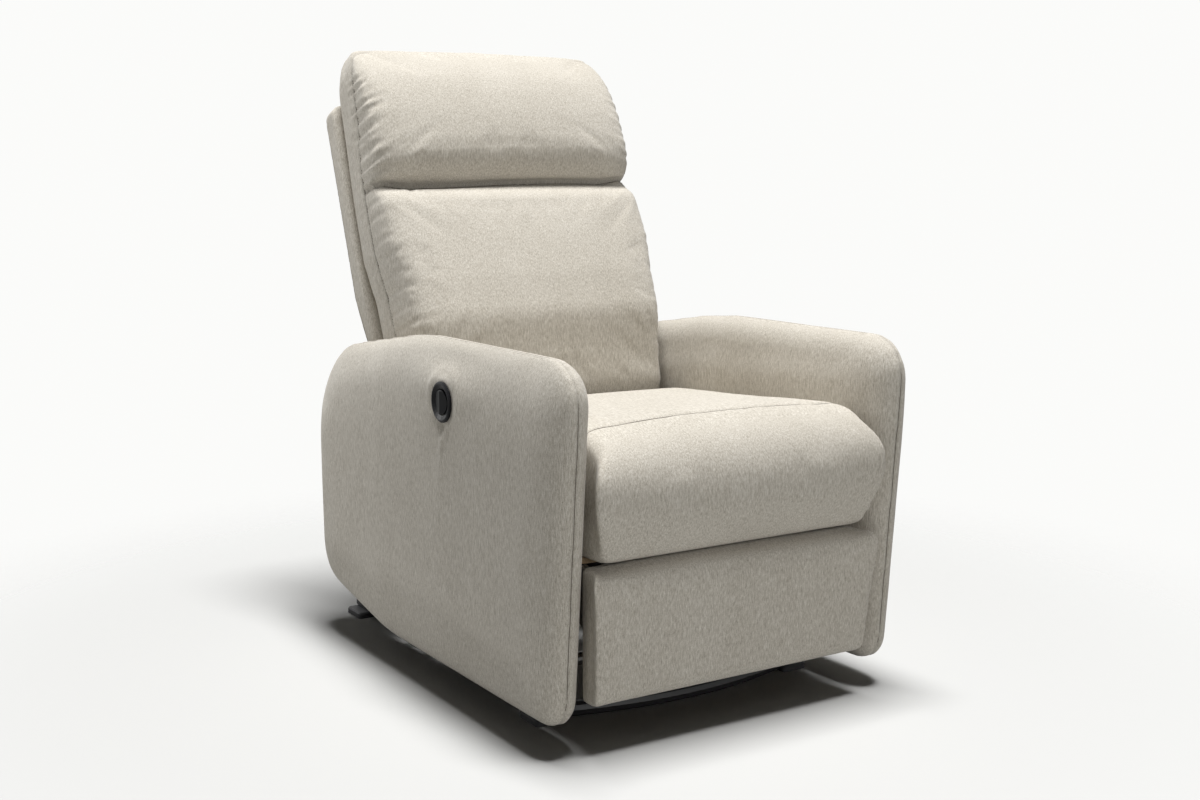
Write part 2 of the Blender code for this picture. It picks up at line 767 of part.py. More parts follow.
def stepped_pin(spot, number, sign, root):
    """Spacer boss that reaches in to a link's layer, with the pin through that link."""
    outer, inner = layer(number)
    shoulder = outer + LAYER_GAP / 2
    steps = 12
    rings = []
    tip = inner - LAYER_GAP / 3
    for x, radius in ((root, BOSS), (shoulder, BOSS), (shoulder, LIFT_PIN), (tip, LIFT_PIN)):
        ring = arc(spot, radius, 0, math.tau * (1 - 1 / steps), steps - 1)
        rings.append([(sign * x, y, z) for y, z in ring])
    return skin(rings)


def make_frame():
    """Cross tubes, seat deck, arm rails and control box."""
    end = layer(0)[1] - GAP
    steel("frame_tube_front", rod(TUBE_FRONT, CROSS_TUBE, -end, end), "frame")
    steel("frame_tube_rear", rod(TUBE_REAR, CROSS_TUBE, -end, end), "frame")
    half = layer(0)[0] - GAP
    rear = SEAT_REAR - 0.008
    corners = [(-half, DECK_FRONT), (half, DECK_FRONT), (half, rear), (-half, rear)]
    outline = rounded(corners, [0.02] * 4, steps=4)
    deck = prism(outline, SEAT_UNDER - GAP - DECK_THICK, SEAT_UNDER - GAP, along_z)
    add_part("seat_deck", deck, "frame", PLYWOOD, 0.8)
    for side, sign in sides():
        make_arm_rail(side, sign)
    x0 = BOX_FROM_END - end
    x1 = x0 + BOX_WIDE
    y0, y1 = TUBE_FRONT[0] - 0.015, TUBE_REAR[0] + 0.015
    base = TUBE_REAR[1] + CROSS_TUBE + GAP
    top = base + BOX_HIGH
    lid = top - BOX_LID
    stations = [(base, 0.0), (lid, 0.0), (lid, BOX_SEAM), (lid + BOX_SEAM, BOX_SEAM),
                (lid + BOX_SEAM, 0.0), (top - BOX_SEAM, 0.0), (top, BOX_SEAM)]
    box = stacked([(x0, y0), (x1, y0), (x1, y1), (x0, y1)], [0.008] * 4, stations, along_z, 3)
    plastic("control_box", box, "frame", 0.6)


def make_arm_rail(side, sign):
    """Steel rail that carries an arm on the outer face of a side plate."""
    low = layer(0)[0] + GAP
    high = ARM_SPACE / 2 - GAP
    front, rear = FOOT_ARM[0] + RAIL_FROM_PIN, HINGE[0] - RAIL_FROM_PIN
    under, top = FOOT_ARM[1] - ARM_RAIL / 4, FOOT_ARM[1] + ARM_RAIL * 3 / 4
    corners = [(front, under), (front, top), (rear, top), (rear, under)]
    bar = prism(rounded(corners, [0.010] * 4, steps=4), sign * low, sign * high, along_x)
    steel("arm_rail_" + side, bar, "frame")


def arm_corners():
    """Corner points of an arm's side view, and the radius of each."""
    toe = (ARM_FRONT + ARM_TOE_SETBACK, ARM_UNDER)
    corners = [toe, (ARM_FRONT, ARM_TOP), (0.0, ARM_TOP - 0.003), (ARM_REAR + 0.004, ARM_REAR_TOP),
               (ARM_REAR - 0.010, 0.098), (0.130, ARM_UNDER)]
    return corners, [0.044, 0.066, 0.90, 0.160, 0.090, 0.40]


def make_arms():
    """Padded arms: slabs with a full round edge and gently crowned faces."""
    corners, radii = arm_corners()
    half = ARM_THICK / 2
    for side, sign in sides():
        middle = sign * (ARM_SPACE / 2 + half)
        rings = []
        for inset, x in arm_section(half):
            outline = rounded(corners, radii, inset, 6)
            rings.append([(middle + x, y, z) for y, z in outline])
        arm = fabric("arm_" + side, skin(rings), "frame")
        if sign < 0:
            hole = rod(SWITCH, BEZEL_BARREL + GAP, pocket_plane() - 0.02, pocket_plane() + POCKET_DEEP, 24)
            combine(arm, hole, "DIFFERENCE")


def arm_section(half):
    """Inset and X through an arm's thickness: flat inner side in, round edge, flat side out."""
    flat = half - ARM_CROWN
    section = [(half * 1.9, -half)]
    for angle in (-90, -62, -36, -12, 12, 36, 62, 90):
        turn = math.radians(angle)
        section.append((half * (1 - math.cos(turn)), flat * math.sin(turn)))
    section.append((half * 1.9, half))
    return section


def make_seat():
    """Seat cushion with a crowned top and a waterfall front that draws in above the footrest."""
    half = ARM_SPACE / 2 - SIDE_CLEAR
    corners = [(SEAT_REAR, SEAT_UNDER), (SEAT_REAR, SEAT_TOP - SEAT_REAR_DROP),
               (SEAT_FRONT, SEAT_TOP + 0.002), (SEAT_FRONT, SEAT_NOSE_LOW),
               (SEAT_FRONT + SEAT_LIP_SETBACK, SEAT_UNDER)]
    radii = [0.030, 0.036, 0.084, 0.100, 0.022]
    fabric("seat_cushion", soft_block(corners, radii, half, SEAT_EDGE, SEAT_CROWN), "frame")


def make_back():
    """Back: hinge brackets on a tube, board, front cushion with its head roll, and rear panel."""
    outer, inner = layer(1)
    board0 = BACK_REAR + GAP
    board1 = board0 + BACK_BOARD
    for side, sign in sides():
        local = arc((0, 0), BRACKET_HUB, math.radians(80), math.radians(350), 12)
        local += [(BACK_START - 0.006, board0), (BRACKET_REACH, board0)]
        local += [(BRACKET_REACH, board1), (0.018, board1)]
        outline = [back_yz(along, across) for along, across in local]
        bracket = steel("back_bracket_" + side, prism(outline, sign * inner, sign * outer, along_x), "back")
        hole = rod(HINGE, LIFT_PIN + RUN, sign * (inner - 0.01), sign * (outer + 0.01))
        combine(bracket, hole, "DIFFERENCE")
    end = inner - GAP
    tube = steel("back_hinge_tube", rod(HINGE, HINGE_TUBE, -end, end), "back")
    add_crank(tube, HINGE, polar(HINGE, BACK_CRANK, BACK_CRANK_REST), HINGE_TUBE, -DRIVE_X, -1.0)
    board = prism(board_outline(end, BACK_BOARD_START, 0.0), board0, board1, back_place)
    add_part("back_board", board, "back", PLYWOOD, 0.8)
    make_back_cushion(outer, board1 - GAP)
    make_back_panel(board1 + GAP)


def board_outline(half, start, grow):
    """Outline of the back's board, with its two upper corners rounded."""
    top = BACK_BOARD_END + grow
    corners = [(-half - grow, start), (half + grow, start), (half + grow, top), (-half - grow, top)]
    return rounded(corners, [0.004, 0.004, BACK_BOARD_CORNER, BACK_BOARD_CORNER], steps=4)


def back_front(along):
    """How far the cushion's front stands out at a distance up the back."""
    if along <= BACK_CREASE:
        share = (along - BACK_START) / (BACK_CREASE - BACK_START)
        face = BACK_FRONT_LOW + (BACK_FRONT_CREASE - BACK_FRONT_LOW) * share
        face += BACK_BULGE * math.sin(math.pi * share ** BULGE_SKEW)
    else:
        share = (along - BACK_CREASE) / (BACK_TOP - BACK_CREASE)
        face = BACK_FRONT_CREASE + HEAD_BULGE * math.sin(math.pi * share) - 0.050 * share ** 2
    return face - CREASE_DEPTH * math.exp(-(((along - BACK_CREASE) / CREASE_WIDTH) ** 2))


def back_stations():
    """Heights up the back: even steps, closer at the crease and at the rounded ends."""
    low = [BACK_START + d for d in (0.0, 0.006, 0.018, 0.045, 0.10, 0.17, 0.25, 0.33, 0.39)]
    crease = [BACK_CREASE + d for d in (-0.034, -0.018, -0.008, 0.0, 0.008, 0.018, 0.034)]
    head = [BACK_CREASE + d for d in (0.075, 0.125, 0.165)]
    top = [BACK_TOP - d for d in (0.075, 0.052, 0.034, 0.019, 0.008, 0.002, 0.0)]
    return low + crease + head + top


def end_round(along):
    """Share of its full section that the cushion keeps near its two ends."""
    low = min(1.0, (along - BACK_START) / 0.045)
    high = min(1.0, (BACK_TOP - along) / 0.085)
    return (0.55 + 0.45 * math.sqrt(1 - (1 - low) ** 2)) * (0.22 + 0.78 * math.sqrt(1 - (1 - high) ** 2))


def back_half(along):
    """Half width of the back: between the arms below, and a little wider at the head."""
    share = min(1.0, max(0.0, (along - FLARE_START) / FLARE_RUN))
    return ARM_SPACE / 2 - SIDE_CLEAR + HEAD_FLARE * share * share * (3.0 - 2.0 * share)


def make_back_cushion(recess, rear):
    """Back cushion: rounded sections up the lean, with the head roll above a sewn crease.

    Its cover goes round the edges of the board and the brackets, to the board's rear face.
    """
    rings = []
    for along in back_stations():
        keep = end_round(along)
        share = max(0.0, (along - BACK_CREASE) / (BACK_TOP - BACK_CREASE))
        wide = (back_half(along) - HEAD_TAPER * share) * (0.90 + 0.10 * keep)
        front = BACK_SEAM + (back_front(along) - BACK_SEAM) * keep
        rise = HEAD_CROWN * share ** 2
        ring = []
        for i in range(32):
            angle = math.tau * i / 32
            c, s = math.cos(angle), math.sin(angle)
            x = wide * math.copysign(abs(c) ** SIDE_SQUARE, c)
            depth = (BACK_SEAM + rear) * (0.35 + 0.65 * keep)
            if s > 0:
                depth = (front - BACK_SEAM) * (1.0 - FACE_CROWN * (x / wide) ** 2)
            across = -BACK_SEAM - depth * math.copysign(abs(s) ** FRONT_SQUARE, s)
            ring.append(back_place(x, along + rise * (1.0 - (x / wide) ** 2), across))
        rings.append(ring)
    cushion = fabric("back_cushion", skin(rings), "back")
    seat = prism(board_outline(recess, 0.0, GAP), BACK_REAR, rear + BACK_BOARD, back_place)
    combine(cushion, seat, "DIFFERENCE")


def make_back_panel(start):
    """Padded panel over the rear of the back, lower than the head roll, with soft edges."""
    low, high = back_half(PANEL_START), back_half(PANEL_TOP)
    narrow, full = PANEL_FLARE
    corners = [(-low, PANEL_START), (low, PANEL_START), (low, narrow), (high, full), (high, PANEL_TOP),
               (-high, PANEL_TOP), (-high, full), (-low, narrow)]
    bend = (full - narrow) * 1.5
    radii = [0.012, 0.012, bend, bend, PANEL_CORNER, PANEL_CORNER, bend, bend]
    rings = []
    for inset, share in ((0.010, 0.0), (0.003, 0.06), (0.0, 0.16), (0.0, 0.72), (0.003, 0.86), (0.008, 0.95),
                         (PANEL_EDGE, 0.99), (PANEL_EDGE * 2.2, 1.0)):
        outline = rounded(corners, radii, inset, 5)
        rings.append([back_place(x, along, start + share * PANEL_THICK) for x, along in outline])
    fabric("back_panel", skin(rings), "back")


def make_footrest_links():
    """Footrest linkage: driven link, carrying arm, reach link and stay on each side."""
    for side, sign in sides():
        arm = link_part("foot_arm_" + side, [FOOT_ARM, FOOT_STAY, FOOT_KNEE], 1, sign, "foot_arm")
        drill(arm, [(FOOT_ARM, PIN + RUN)], 1, sign)
        shafts = [inward_pin(FOOT_STAY, 1, sign), inward_pin(FOOT_KNEE, 1, sign)]
        combine(arm, merge(shafts), "UNION")
        reach = link_part("foot_reach_" + side, [FOOT_TAIL, FOOT_KNEE, FOOT_TIP], 2, sign, "foot_reach")
        drill(reach, [(FOOT_KNEE, PIN + RUN)], 2, sign)
        combine(reach, merge([inward_pin(FOOT_TAIL, 2, sign), outward_pin(FOOT_TIP, 2, sign)]), "UNION")
        stay = link_part("foot_stay_" + side, [FOOT_STAY, FOOT_STAY_TIP], 2, sign, "foot_stay")
        drill(stay, [(FOOT_STAY, PIN + RUN), (FOOT_STAY_TIP, PIN + LOOSE)], 2, sign)
        push = link_part("foot_drive_link_" + side, [FOOT_DRIVE, FOOT_TAIL], 3, sign, "foot_drive")
        drill(push, [(FOOT_DRIVE, PIN + RUN), (FOOT_TAIL, PIN + LOOSE)], 3, sign)
    end = layer(3)[1] - GAP
    tube = steel("foot_torque_tube", rod(FOOT_DRIVE, TORQUE_TUBE, -end, end), "foot_drive")
    pin = polar(FOOT_DRIVE, FOOT_CRANK, FOOT_CRANK_REST)
    add_crank(tube, FOOT_DRIVE, pin, TORQUE_TUBE, DRIVE_X, 1.0)


def link_part(name, pivots, number, sign, body):
    """A flat link in one layer."""
    outer, inner = layer(number)
    return steel(name, prism(strap(pivots, LINK_HALF), sign * inner, sign * outer, along_x), body)


def drill(part, holes, number, sign):
    """Pivot holes through a link."""
    outer, inner = layer(number)
    cutters = [rod(spot, radius, sign * (inner - 0.005), sign * (outer + 0.005)) for spot, radius in holes]
    combine(part, merge(cutters), "DIFFERENCE")


def inward_pin(spot, number, sign):
    """Pin from a link through the next layer inwards."""
    end = layer(number + 1)[1] - LAYER_GAP / 3
    return rod(spot, PIN, sign * end, sign * (layer(number)[1] + 0.001))


def outward_pin(spot, number, sign):
    """Pin from a link through the next layer outwards."""
    end = layer(number - 1)[0] + LAYER_GAP / 3
    return rod(spot, PIN, sign * (layer(number)[0] - 0.001), sign * end)


def add_crank(tube, hub, pin, radius, x, sign):
    """Weld a crank to a tube, with the pin that a drive's slotted slider pushes."""
    low, high = x + sign * 0.0065, x + sign * 0.0125
    outline = hull(arc(hub, radius + 0.0035, 0, math.tau, 18) + arc(pin, 0.0085, 0, math.tau, 14))
    combine(tube, prism(outline, low, high, along_x), "UNION")
    combine(tube, rod(pin, DRIVE_PIN, x - sign * 0.0065, low + sign * 0.001), "UNION")


def make_footrest():
    """Footrest: a pad that goes round the edges of its board, and the brackets that the linkage holds."""
    rear = PAD_FRONT + PAD_THICK
    back = rear + GAP + BOARD_THICK
    top = SEAT_UNDER - PAD_TOP_GAP
    half = ARM_SPACE / 2 - PAD_SIDE_CLEAR
    corners = [(back, PAD_UNDER), (back, top), (PAD_FRONT, top), (PAD_FRONT + PAD_TOE_SETBACK, PAD_UNDER)]
    block = soft_block(corners, [0.005, 0.005, 0.018, 0.016], half, PAD_EDGE, PAD_CROWN)
    pad = fabric("footrest_pad", block, "footrest")
    wide = layer(1)[0] + GAP
    low, high = PAD_UNDER + BOARD_INSET, top - BOARD_INSET
    edges = [(-wide, low), (wide, low), (wide, high), (-wide, high)]
    radii = [BOARD_CORNER] * 4
    recess = rounded(edges, radii, -GAP, 4)
    combine(pad, prism(recess, rear, back + PAD_THICK, along_y), "DIFFERENCE")
    board = prism(rounded(edges, radii, 0.0, 4), rear + GAP, back, along_y)
    add_part("footrest_board", board, "footrest", PLYWOOD, 0.8)
    face = back + GAP
    for side, sign in sides():
        outer, inner = layer(1)
        rounds = arc(FOOT_TIP, LINK_HALF, 0, math.tau, 16)
        rounds += arc(FOOT_STAY_TIP, LINK_HALF - 0.0015, 0, math.tau, 16)
        edge = [(face, FOOT_TIP[1] - 0.045), (face, FOOT_STAY_TIP[1] + 0.004)]
        plate = prism(hull(rounds + edge), sign * inner, sign * outer, along_x)
        bracket = steel("footrest_bracket_" + side, plate, "footrest")
        drill(bracket, [(FOOT_TIP, PIN + RUN)], 1, sign)
        combine(bracket, inward_pin(FOOT_STAY_TIP, 1, sign), "UNION")


def make_drive(name, x, front, rear, motor_end, pin, travel_low, body):
    """Recline drive: a channel on the cross tubes, its motor, and a slotted slider."""
    base = TUBE_FRONT[1] + CROSS_TUBE + GAP
    half = CHANNEL_WIDE / 2
    top = base + CHANNEL_HIGH
    wall = CHANNEL_WALL
    section = [(x - half, base), (x + half, base), (x + half, top), (x + half - wall, top),
               (x + half - wall, base + wall), (x - half + wall, base + wall),
               (x - half + wall, top), (x - half, top)]
    steel(name + "_channel", prism(section, front, rear, along_y), "frame")
    near = rear + GAP if motor_end > 0 else front - GAP
    end = near + motor_end * DRIVE_CAN_LONG
    cap = end - motor_end * END_CAP
    rim = end - motor_end * DRIVE_CAN_EASE
    corners = [(x - 0.027, base - 0.004), (x + 0.027, base - 0.004),
               (x + 0.027, base + 0.046), (x - 0.027, base + 0.046)]
    stations = [(near, 0.0), (cap, 0.0), (cap, END_CAP_STEP), (rim, END_CAP_STEP),
                (end, END_CAP_STEP + DRIVE_CAN_EASE)]
    motor = stacked(corners, [0.014] * 4, stations, along_y)
    plastic(name + "_motor", motor, "frame")
    make_slider(name, x, base + wall + GAP, half - wall - RUN, pin, travel_low, body)


def make_slider(name, x, base, half, pin, low, body):
    """Slider block in the channel, with an upright plate whose slot pushes the crank pin."""
    y0, y1 = pin[0] - SLIDER_LONG / 2, pin[0] + SLIDER_LONG / 2
    block = [(x - half, base), (x + half, base), (x + half, base + 0.015), (x - half, base + 0.015)]
    part = steel(name + "_slider", prism(block, y0, y1, along_y), body)
    play = DRIVE_PIN + DRIVE_SLACK
    rim = play + 0.006
    head = max(pin[1], low) + rim
    y0, y1 = pin[0] - rim, pin[0] + rim
    corners = [(y0, base + 0.010), (y1, base + 0.010), (y1, head), (y0, head)]
    plate = rounded(corners, [0.003, 0.003, 0.009, 0.009], steps=4)
    combine(part, prism(plate, x - 0.004, x + 0.004, along_x), "UNION")
    slot = arc((pin[0], pin[1]), play, 0, math.pi, 8) + arc((pin[0], low), play, math.pi, math.tau, 8)
    combine(part, prism(slot, x - 0.01, x + 0.01, along_x), "DIFFERENCE")


def make_drives():
    """Footrest drive on the sitter's left, back drive on the right."""
    pin = polar(FOOT_DRIVE, FOOT_CRANK, FOOT_CRANK_REST)
    low = FOOT_DRIVE[1] - FOOT_CRANK
    make_drive("foot_drive", DRIVE_X, pin[0] - 0.105, TUBE_REAR[0] + 0.020, 1, pin, low, "foot_slider")
    pin = polar(HINGE, BACK_CRANK, BACK_CRANK_REST)
    low = HINGE[1] - BACK_CRANK
    make_drive("back_drive", -DRIVE_X, TUBE_FRONT[0] - 0.020, pin[0] + 0.028, -1, pin, low, "back_slider")


def revolve_x(profile, steps=28):
    """Turn a profile of (X, radius) about the switch's axis into a closed ring."""
    rings = []
    for x, radius in profile:
        rings.append([(x, y, z) for y, z in arc(SWITCH, radius, 0, math.tau * (1 - 1 / steps), steps - 1)])
    bm = bmesh.new()
    loops = [[bm.verts.new(p) for p in ring] for ring in rings]
    for near, far in zip(loops, loops[1:] + loops[:1]):
        for i in range(steps):
            j = (i + 1) % steps
            bm.faces.new((near[i], near[j], far[j], far[i]))
    return bm


def make_switch():
    """Round recline switch in the right arm: bezel, body and a two-way rocker."""
    face = pocket_plane()
    proud = face - BEZEL_PROUD
    seat = face - GAP
    deep = face + BEZEL_DEEP
    profile = [(seat, BEZEL), (proud + 0.0018, BEZEL), (proud + 0.0004, BEZEL - 0.0016),
               (proud, BEZEL - 0.0040), (proud + BEZEL_DISH, BEZEL_MOUTH + 0.0008),
               (proud + BEZEL_DISH + 0.0012, BEZEL_MOUTH), (deep, BEZEL_MOUTH), (deep, BEZEL_BARREL),
               (seat, BEZEL_BARREL)]
    bezel = plastic("switch_bezel", revolve_x(profile), "frame", 0.3)
    axis_x = face + 0.004
    reach = BEZEL_BARREL - 0.0006
    holes = rod((axis_x, SWITCH[0]), 0.0019, SWITCH[1] - reach, SWITCH[1] + reach, 10, along_z)
    combine(bezel, holes, "DIFFERENCE")
    body = rod(SWITCH, BEZEL_BARREL - 0.0006, deep + GAP, face + POCKET_DEEP - GAP, 24)
    plastic("switch_body", body, "frame", 0.6)
    make_rocker(face, axis_x)


def make_rocker(face, axis_x):
    """Rocker disc: two facets that meet in an upright ridge, on stub pins top and bottom."""
    ridge = face - BEZEL_PROUD - ROCKER_PROUD
    rear = face + BEZEL_DEEP - 0.006
    profile = [(ridge, ROCKER - ROCKER_BEVEL), (ridge + ROCKER_BEVEL, ROCKER), (rear, ROCKER)]
    rocker = plastic("switch_rocker", turned(SWITCH, profile, 28, along_x), "switch", 0.25)
    for sign in (-1.0, 1.0):
        out = SWITCH[0] + sign * (ROCKER + 0.002)
        slope = ROCKER_SLOPE * (ROCKER + 0.002) / ROCKER
        wedge = [(ridge - 0.01, SWITCH[0]), (ridge, SWITCH[0]), (ridge + slope, out), (ridge - 0.01, out)]
        combine(rocker, prism(wedge, SWITCH[1] - 0.03, SWITCH[1] + 0.03, along_z), "DIFFERENCE")
    reach = BEZEL_MOUTH + 0.0010
    pins = rod((axis_x, SWITCH[0]), 0.0015, SWITCH[1] - reach, SWITCH[1] + reach, 10, along_z)
    combine(rocker, pins, "UNION")


def build():
    """Make every part of the chair."""
    clear_scene()
    make_bodies()
    make_base()
    make_lift_links()
    make_lift_drive()
    make_side_plates()
    make_frame()
    make_arms()
    make_seat()
    make_back()
    make_footrest_links()
    make_footrest()
    make_drives()
    make_switch()


build()
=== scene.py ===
# %% [markdown]
# # A power lift recliner in woven fabric
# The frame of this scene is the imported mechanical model: every plate, link and tube is already in place.
# The lesson dresses it: the cushions are sewn and puffed with cloth simulation, the steel, board and
# plastic get finishes made of nodes, and the stitching and rivets come from Geometry Nodes. Sizes are in
# metres. X runs across the chair, Y from its front to its rear, and Z up.

# %% Load the frame
import json
import math

import bmesh
import bpy
import numpy as np
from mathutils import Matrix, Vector
from mathutils.bvhtree import BVHTree


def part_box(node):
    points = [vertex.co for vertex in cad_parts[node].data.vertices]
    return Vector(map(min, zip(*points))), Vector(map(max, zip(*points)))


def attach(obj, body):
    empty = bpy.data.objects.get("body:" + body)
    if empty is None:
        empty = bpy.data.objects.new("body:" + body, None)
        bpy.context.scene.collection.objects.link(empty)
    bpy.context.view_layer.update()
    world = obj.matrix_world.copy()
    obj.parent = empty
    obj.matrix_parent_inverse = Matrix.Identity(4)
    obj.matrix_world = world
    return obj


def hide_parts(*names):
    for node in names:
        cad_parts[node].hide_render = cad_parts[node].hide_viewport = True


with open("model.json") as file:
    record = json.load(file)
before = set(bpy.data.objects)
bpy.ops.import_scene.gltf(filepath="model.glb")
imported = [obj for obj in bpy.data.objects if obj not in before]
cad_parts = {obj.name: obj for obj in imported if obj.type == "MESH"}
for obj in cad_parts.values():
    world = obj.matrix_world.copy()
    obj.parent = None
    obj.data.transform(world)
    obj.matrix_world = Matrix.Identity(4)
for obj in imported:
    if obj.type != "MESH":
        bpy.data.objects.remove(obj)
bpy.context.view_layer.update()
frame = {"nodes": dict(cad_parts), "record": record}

scene = bpy.context.scene
scene.view_settings.view_transform = "Standard"

# %% [markdown]
# ## Where the chair's own lines are
# The covers follow a few lines of the mechanical model: the lean of the back about its hinge, the crease
# under the head roll, the middle and the round edge of each arm, and the centre of the switch. They could
# be measured on the meshes each time, but written down once they are easier to read.

# %% Lines of the chair
HINGE_Y, HINGE_Z = 0.175, 0.335
LEAN = math.radians(20.0)
CREASE = 0.494
ARM_MIDDLE, ARM_INNER = 0.305, 0.265
ARM_ROUND, ARM_FRONT = 0.040, -0.4871
ARM_GAP = 0.0015
SWITCH_Y, SWITCH_Z, SWITCH_FACE = -0.139, 0.5005, -0.345
BEZEL = 0.033


def beside_arms(y):
    """Half the room between the arms, which widens where their front edges round off."""
    turned = np.clip(ARM_ROUND - (y - ARM_FRONT), 0.0, ARM_ROUND)
    return ARM_MIDDLE - np.sqrt(ARM_ROUND ** 2 - turned ** 2) - ARM_GAP


def leaning(points):
    """Points in the frame of the back: across the chair, up the lean, and rearwards across it."""
    dy, dz = points[:, 1] - HINGE_Y, points[:, 2] - HINGE_Z
    along = dy * math.sin(LEAN) + dz * math.cos(LEAN)
    across = dy * math.cos(LEAN) - dz * math.sin(LEAN)
    return np.stack([points[:, 0], along, across], axis=1)


def upright(points):
    """The way back from the frame of the back."""
    y = HINGE_Y + points[:, 1] * math.sin(LEAN) + points[:, 2] * math.cos(LEAN)
    z = HINGE_Z + points[:, 1] * math.cos(LEAN) - points[:, 2] * math.sin(LEAN)
    return np.stack([points[:, 0], y, z], axis=1)


print("the back leans", round(math.degrees(LEAN)), "degrees; its crease is", CREASE, "m up the lean")

# %% [markdown]
# ## Node expressions
# A finish is easier to read as arithmetic than as a long list of links. `Value` wraps one socket, and its
# operators add Math nodes. `Nodes` owns any node tree and adds every other node by its type, its settings
# and its sockets, so materials, the world and Geometry Nodes are all written in one way.

# %% Socket arithmetic
class Value:
    """One socket of a node tree, with arithmetic."""

    def __init__(self, nodes, socket):
        self.nodes = nodes
        self.socket = socket

    def _math(self, operation, first, second):
        settings = {"operation": operation}
        return self.nodes.node("ShaderNodeMath", settings, {0: first, 1: second}).out(0)

    def __add__(self, other):
        return self._math("ADD", self, other)

    def __radd__(self, other):
        return self._math("ADD", other, self)

    def __sub__(self, other):
        return self._math("SUBTRACT", self, other)

    def __rsub__(self, other):
        return self._math("SUBTRACT", other, self)

    def __mul__(self, other):
        return self._math("MULTIPLY", self, other)

    def __rmul__(self, other):
        return self._math("MULTIPLY", other, self)

    def size(self):
        return self._math("ABSOLUTE", self, 0.0)

    def larger(self, other):
        return self._math("MAXIMUM", self, other)


class Added:
    """A node that was added; out gives one of its outputs."""

    def __init__(self, nodes, node):
        self.nodes = nodes
        self.node = node

    def out(self, key):
        return Value(self.nodes, self.node.outputs[key])


class Nodes:
    """A node tree that grows by node types, settings and socket values."""

    def __init__(self, tree):
        self.tree = tree

    def node(self, kind, settings=None, sockets=None):
        made = self.tree.nodes.new(kind)
        for key, value in (settings or {}).items():
            if key == "stops":
                while len(made.color_ramp.elements) < len(value):
                    made.color_ramp.elements.new(0.5)
                for element, (place, colour) in zip(made.color_ramp.elements, value):
                    element.position = place
                    element.color = (*colour, 1.0)
            else:
                setattr(made, key, value)
        for key, value in (sockets or {}).items():
            self.feed(made.inputs[key], value)
        return Added(self, made)

    def feed(self, socket, value):
        if isinstance(value, Value):
            self.tree.links.new(value.socket, socket)
        else:
            socket.default_value = value


# %% [markdown]
# ## Finishes in general
# Every material here has one Principled shader. What differs is the pattern that feeds its colour,
# roughness and bump, so the patterns that are used more than once get a name: a noise, a noise that is
# stretched along one axis, a smooth rise, a ramp of colours and a blend of two. All of them read Object
# coordinates, which need no UV map and stay still on every piece.

# %% A finish
class Finish(Nodes):
    """A material with one main shader, and the patterns that feed it."""

    def __init__(self, name, rough, metal=0.0):
        self.material = bpy.data.materials.new(name)
        self.material.use_nodes = True
        super().__init__(self.material.node_tree)
        self.shader = self.tree.nodes["Principled BSDF"]
        self.set("Roughness", rough)
        self.set("Metallic", metal)

    def set(self, name, value):
        self.feed(self.shader.inputs[name], value)

    def place(self):
        return self.node("ShaderNodeTexCoord").out("Object")

    def stretched(self, scale):
        sockets = {"Vector": self.place(), "Scale": scale}
        return self.node("ShaderNodeMapping", None, sockets).out("Vector")

    def noise(self, where, scale, detail=2.0, rough=0.5):
        sockets = {"Vector": where, "Scale": scale, "Detail": detail, "Roughness": rough}
        return self.node("ShaderNodeTexNoise", None, sockets).out(0)

    def rise(self, value, low, high):
        sockets = {"Value": value, "From Min": low, "From Max": high}
        return self.node("ShaderNodeMapRange", {"interpolation_type": "SMOOTHSTEP"}, sockets).out(0)

    def ramp(self, share, stops):
        return self.node("ShaderNodeValToRGB", {"stops": stops}, {0: share}).out(0)

    def blend(self, share, first, second):
        first, second = (c if isinstance(c, Value) else (*c, 1.0) for c in (first, second))
        return self.node("ShaderNodeMix", {"data_type": "RGBA"}, {0: share, 6: first, 7: second}).out(2)

    def bump(self, height, strength, distance):
        sockets = {"Height": height, "Strength": strength, "Distance": distance}
        self.set("Normal", self.node("ShaderNodeBump", None, sockets).out("Normal"))


# %% [markdown]
# ## The woven cover
# The real cloth is a heathered weave: short pale and dark streaks that run up the chair, over a fine
# grain. An image of cloth would need a UV map, which the remesh of the covers removes, so the streaks are
# stretched noise. On upright faces they run along Z, and on level faces along Y, and two noises are mixed
# by how much a face looks up. The covers mark the bottoms of their seams and creases in an attribute, and
# the cloth there is darkened with painted shade.

# %% Fabric finish
ACROSS_STREAK, ALONG_STREAK = 560.0, 105.0
STREAKS = {"scale": 1.0, "detail": 3.0, "rough": 0.66}
WEAVE_TONES = [(0.33, (0.300, 0.268, 0.218)), (0.50, (0.500, 0.462, 0.396)),
               (0.56, (0.560, 0.522, 0.455)), (0.74, (0.740, 0.706, 0.640))]
# Painted shade for the bottoms of seam grooves and creases: its tone, and how far it darkens the cloth.
SEAM_SHADE_TONE, SEAM_SHADE_SHARE = (0.12, 0.105, 0.085), 0.62


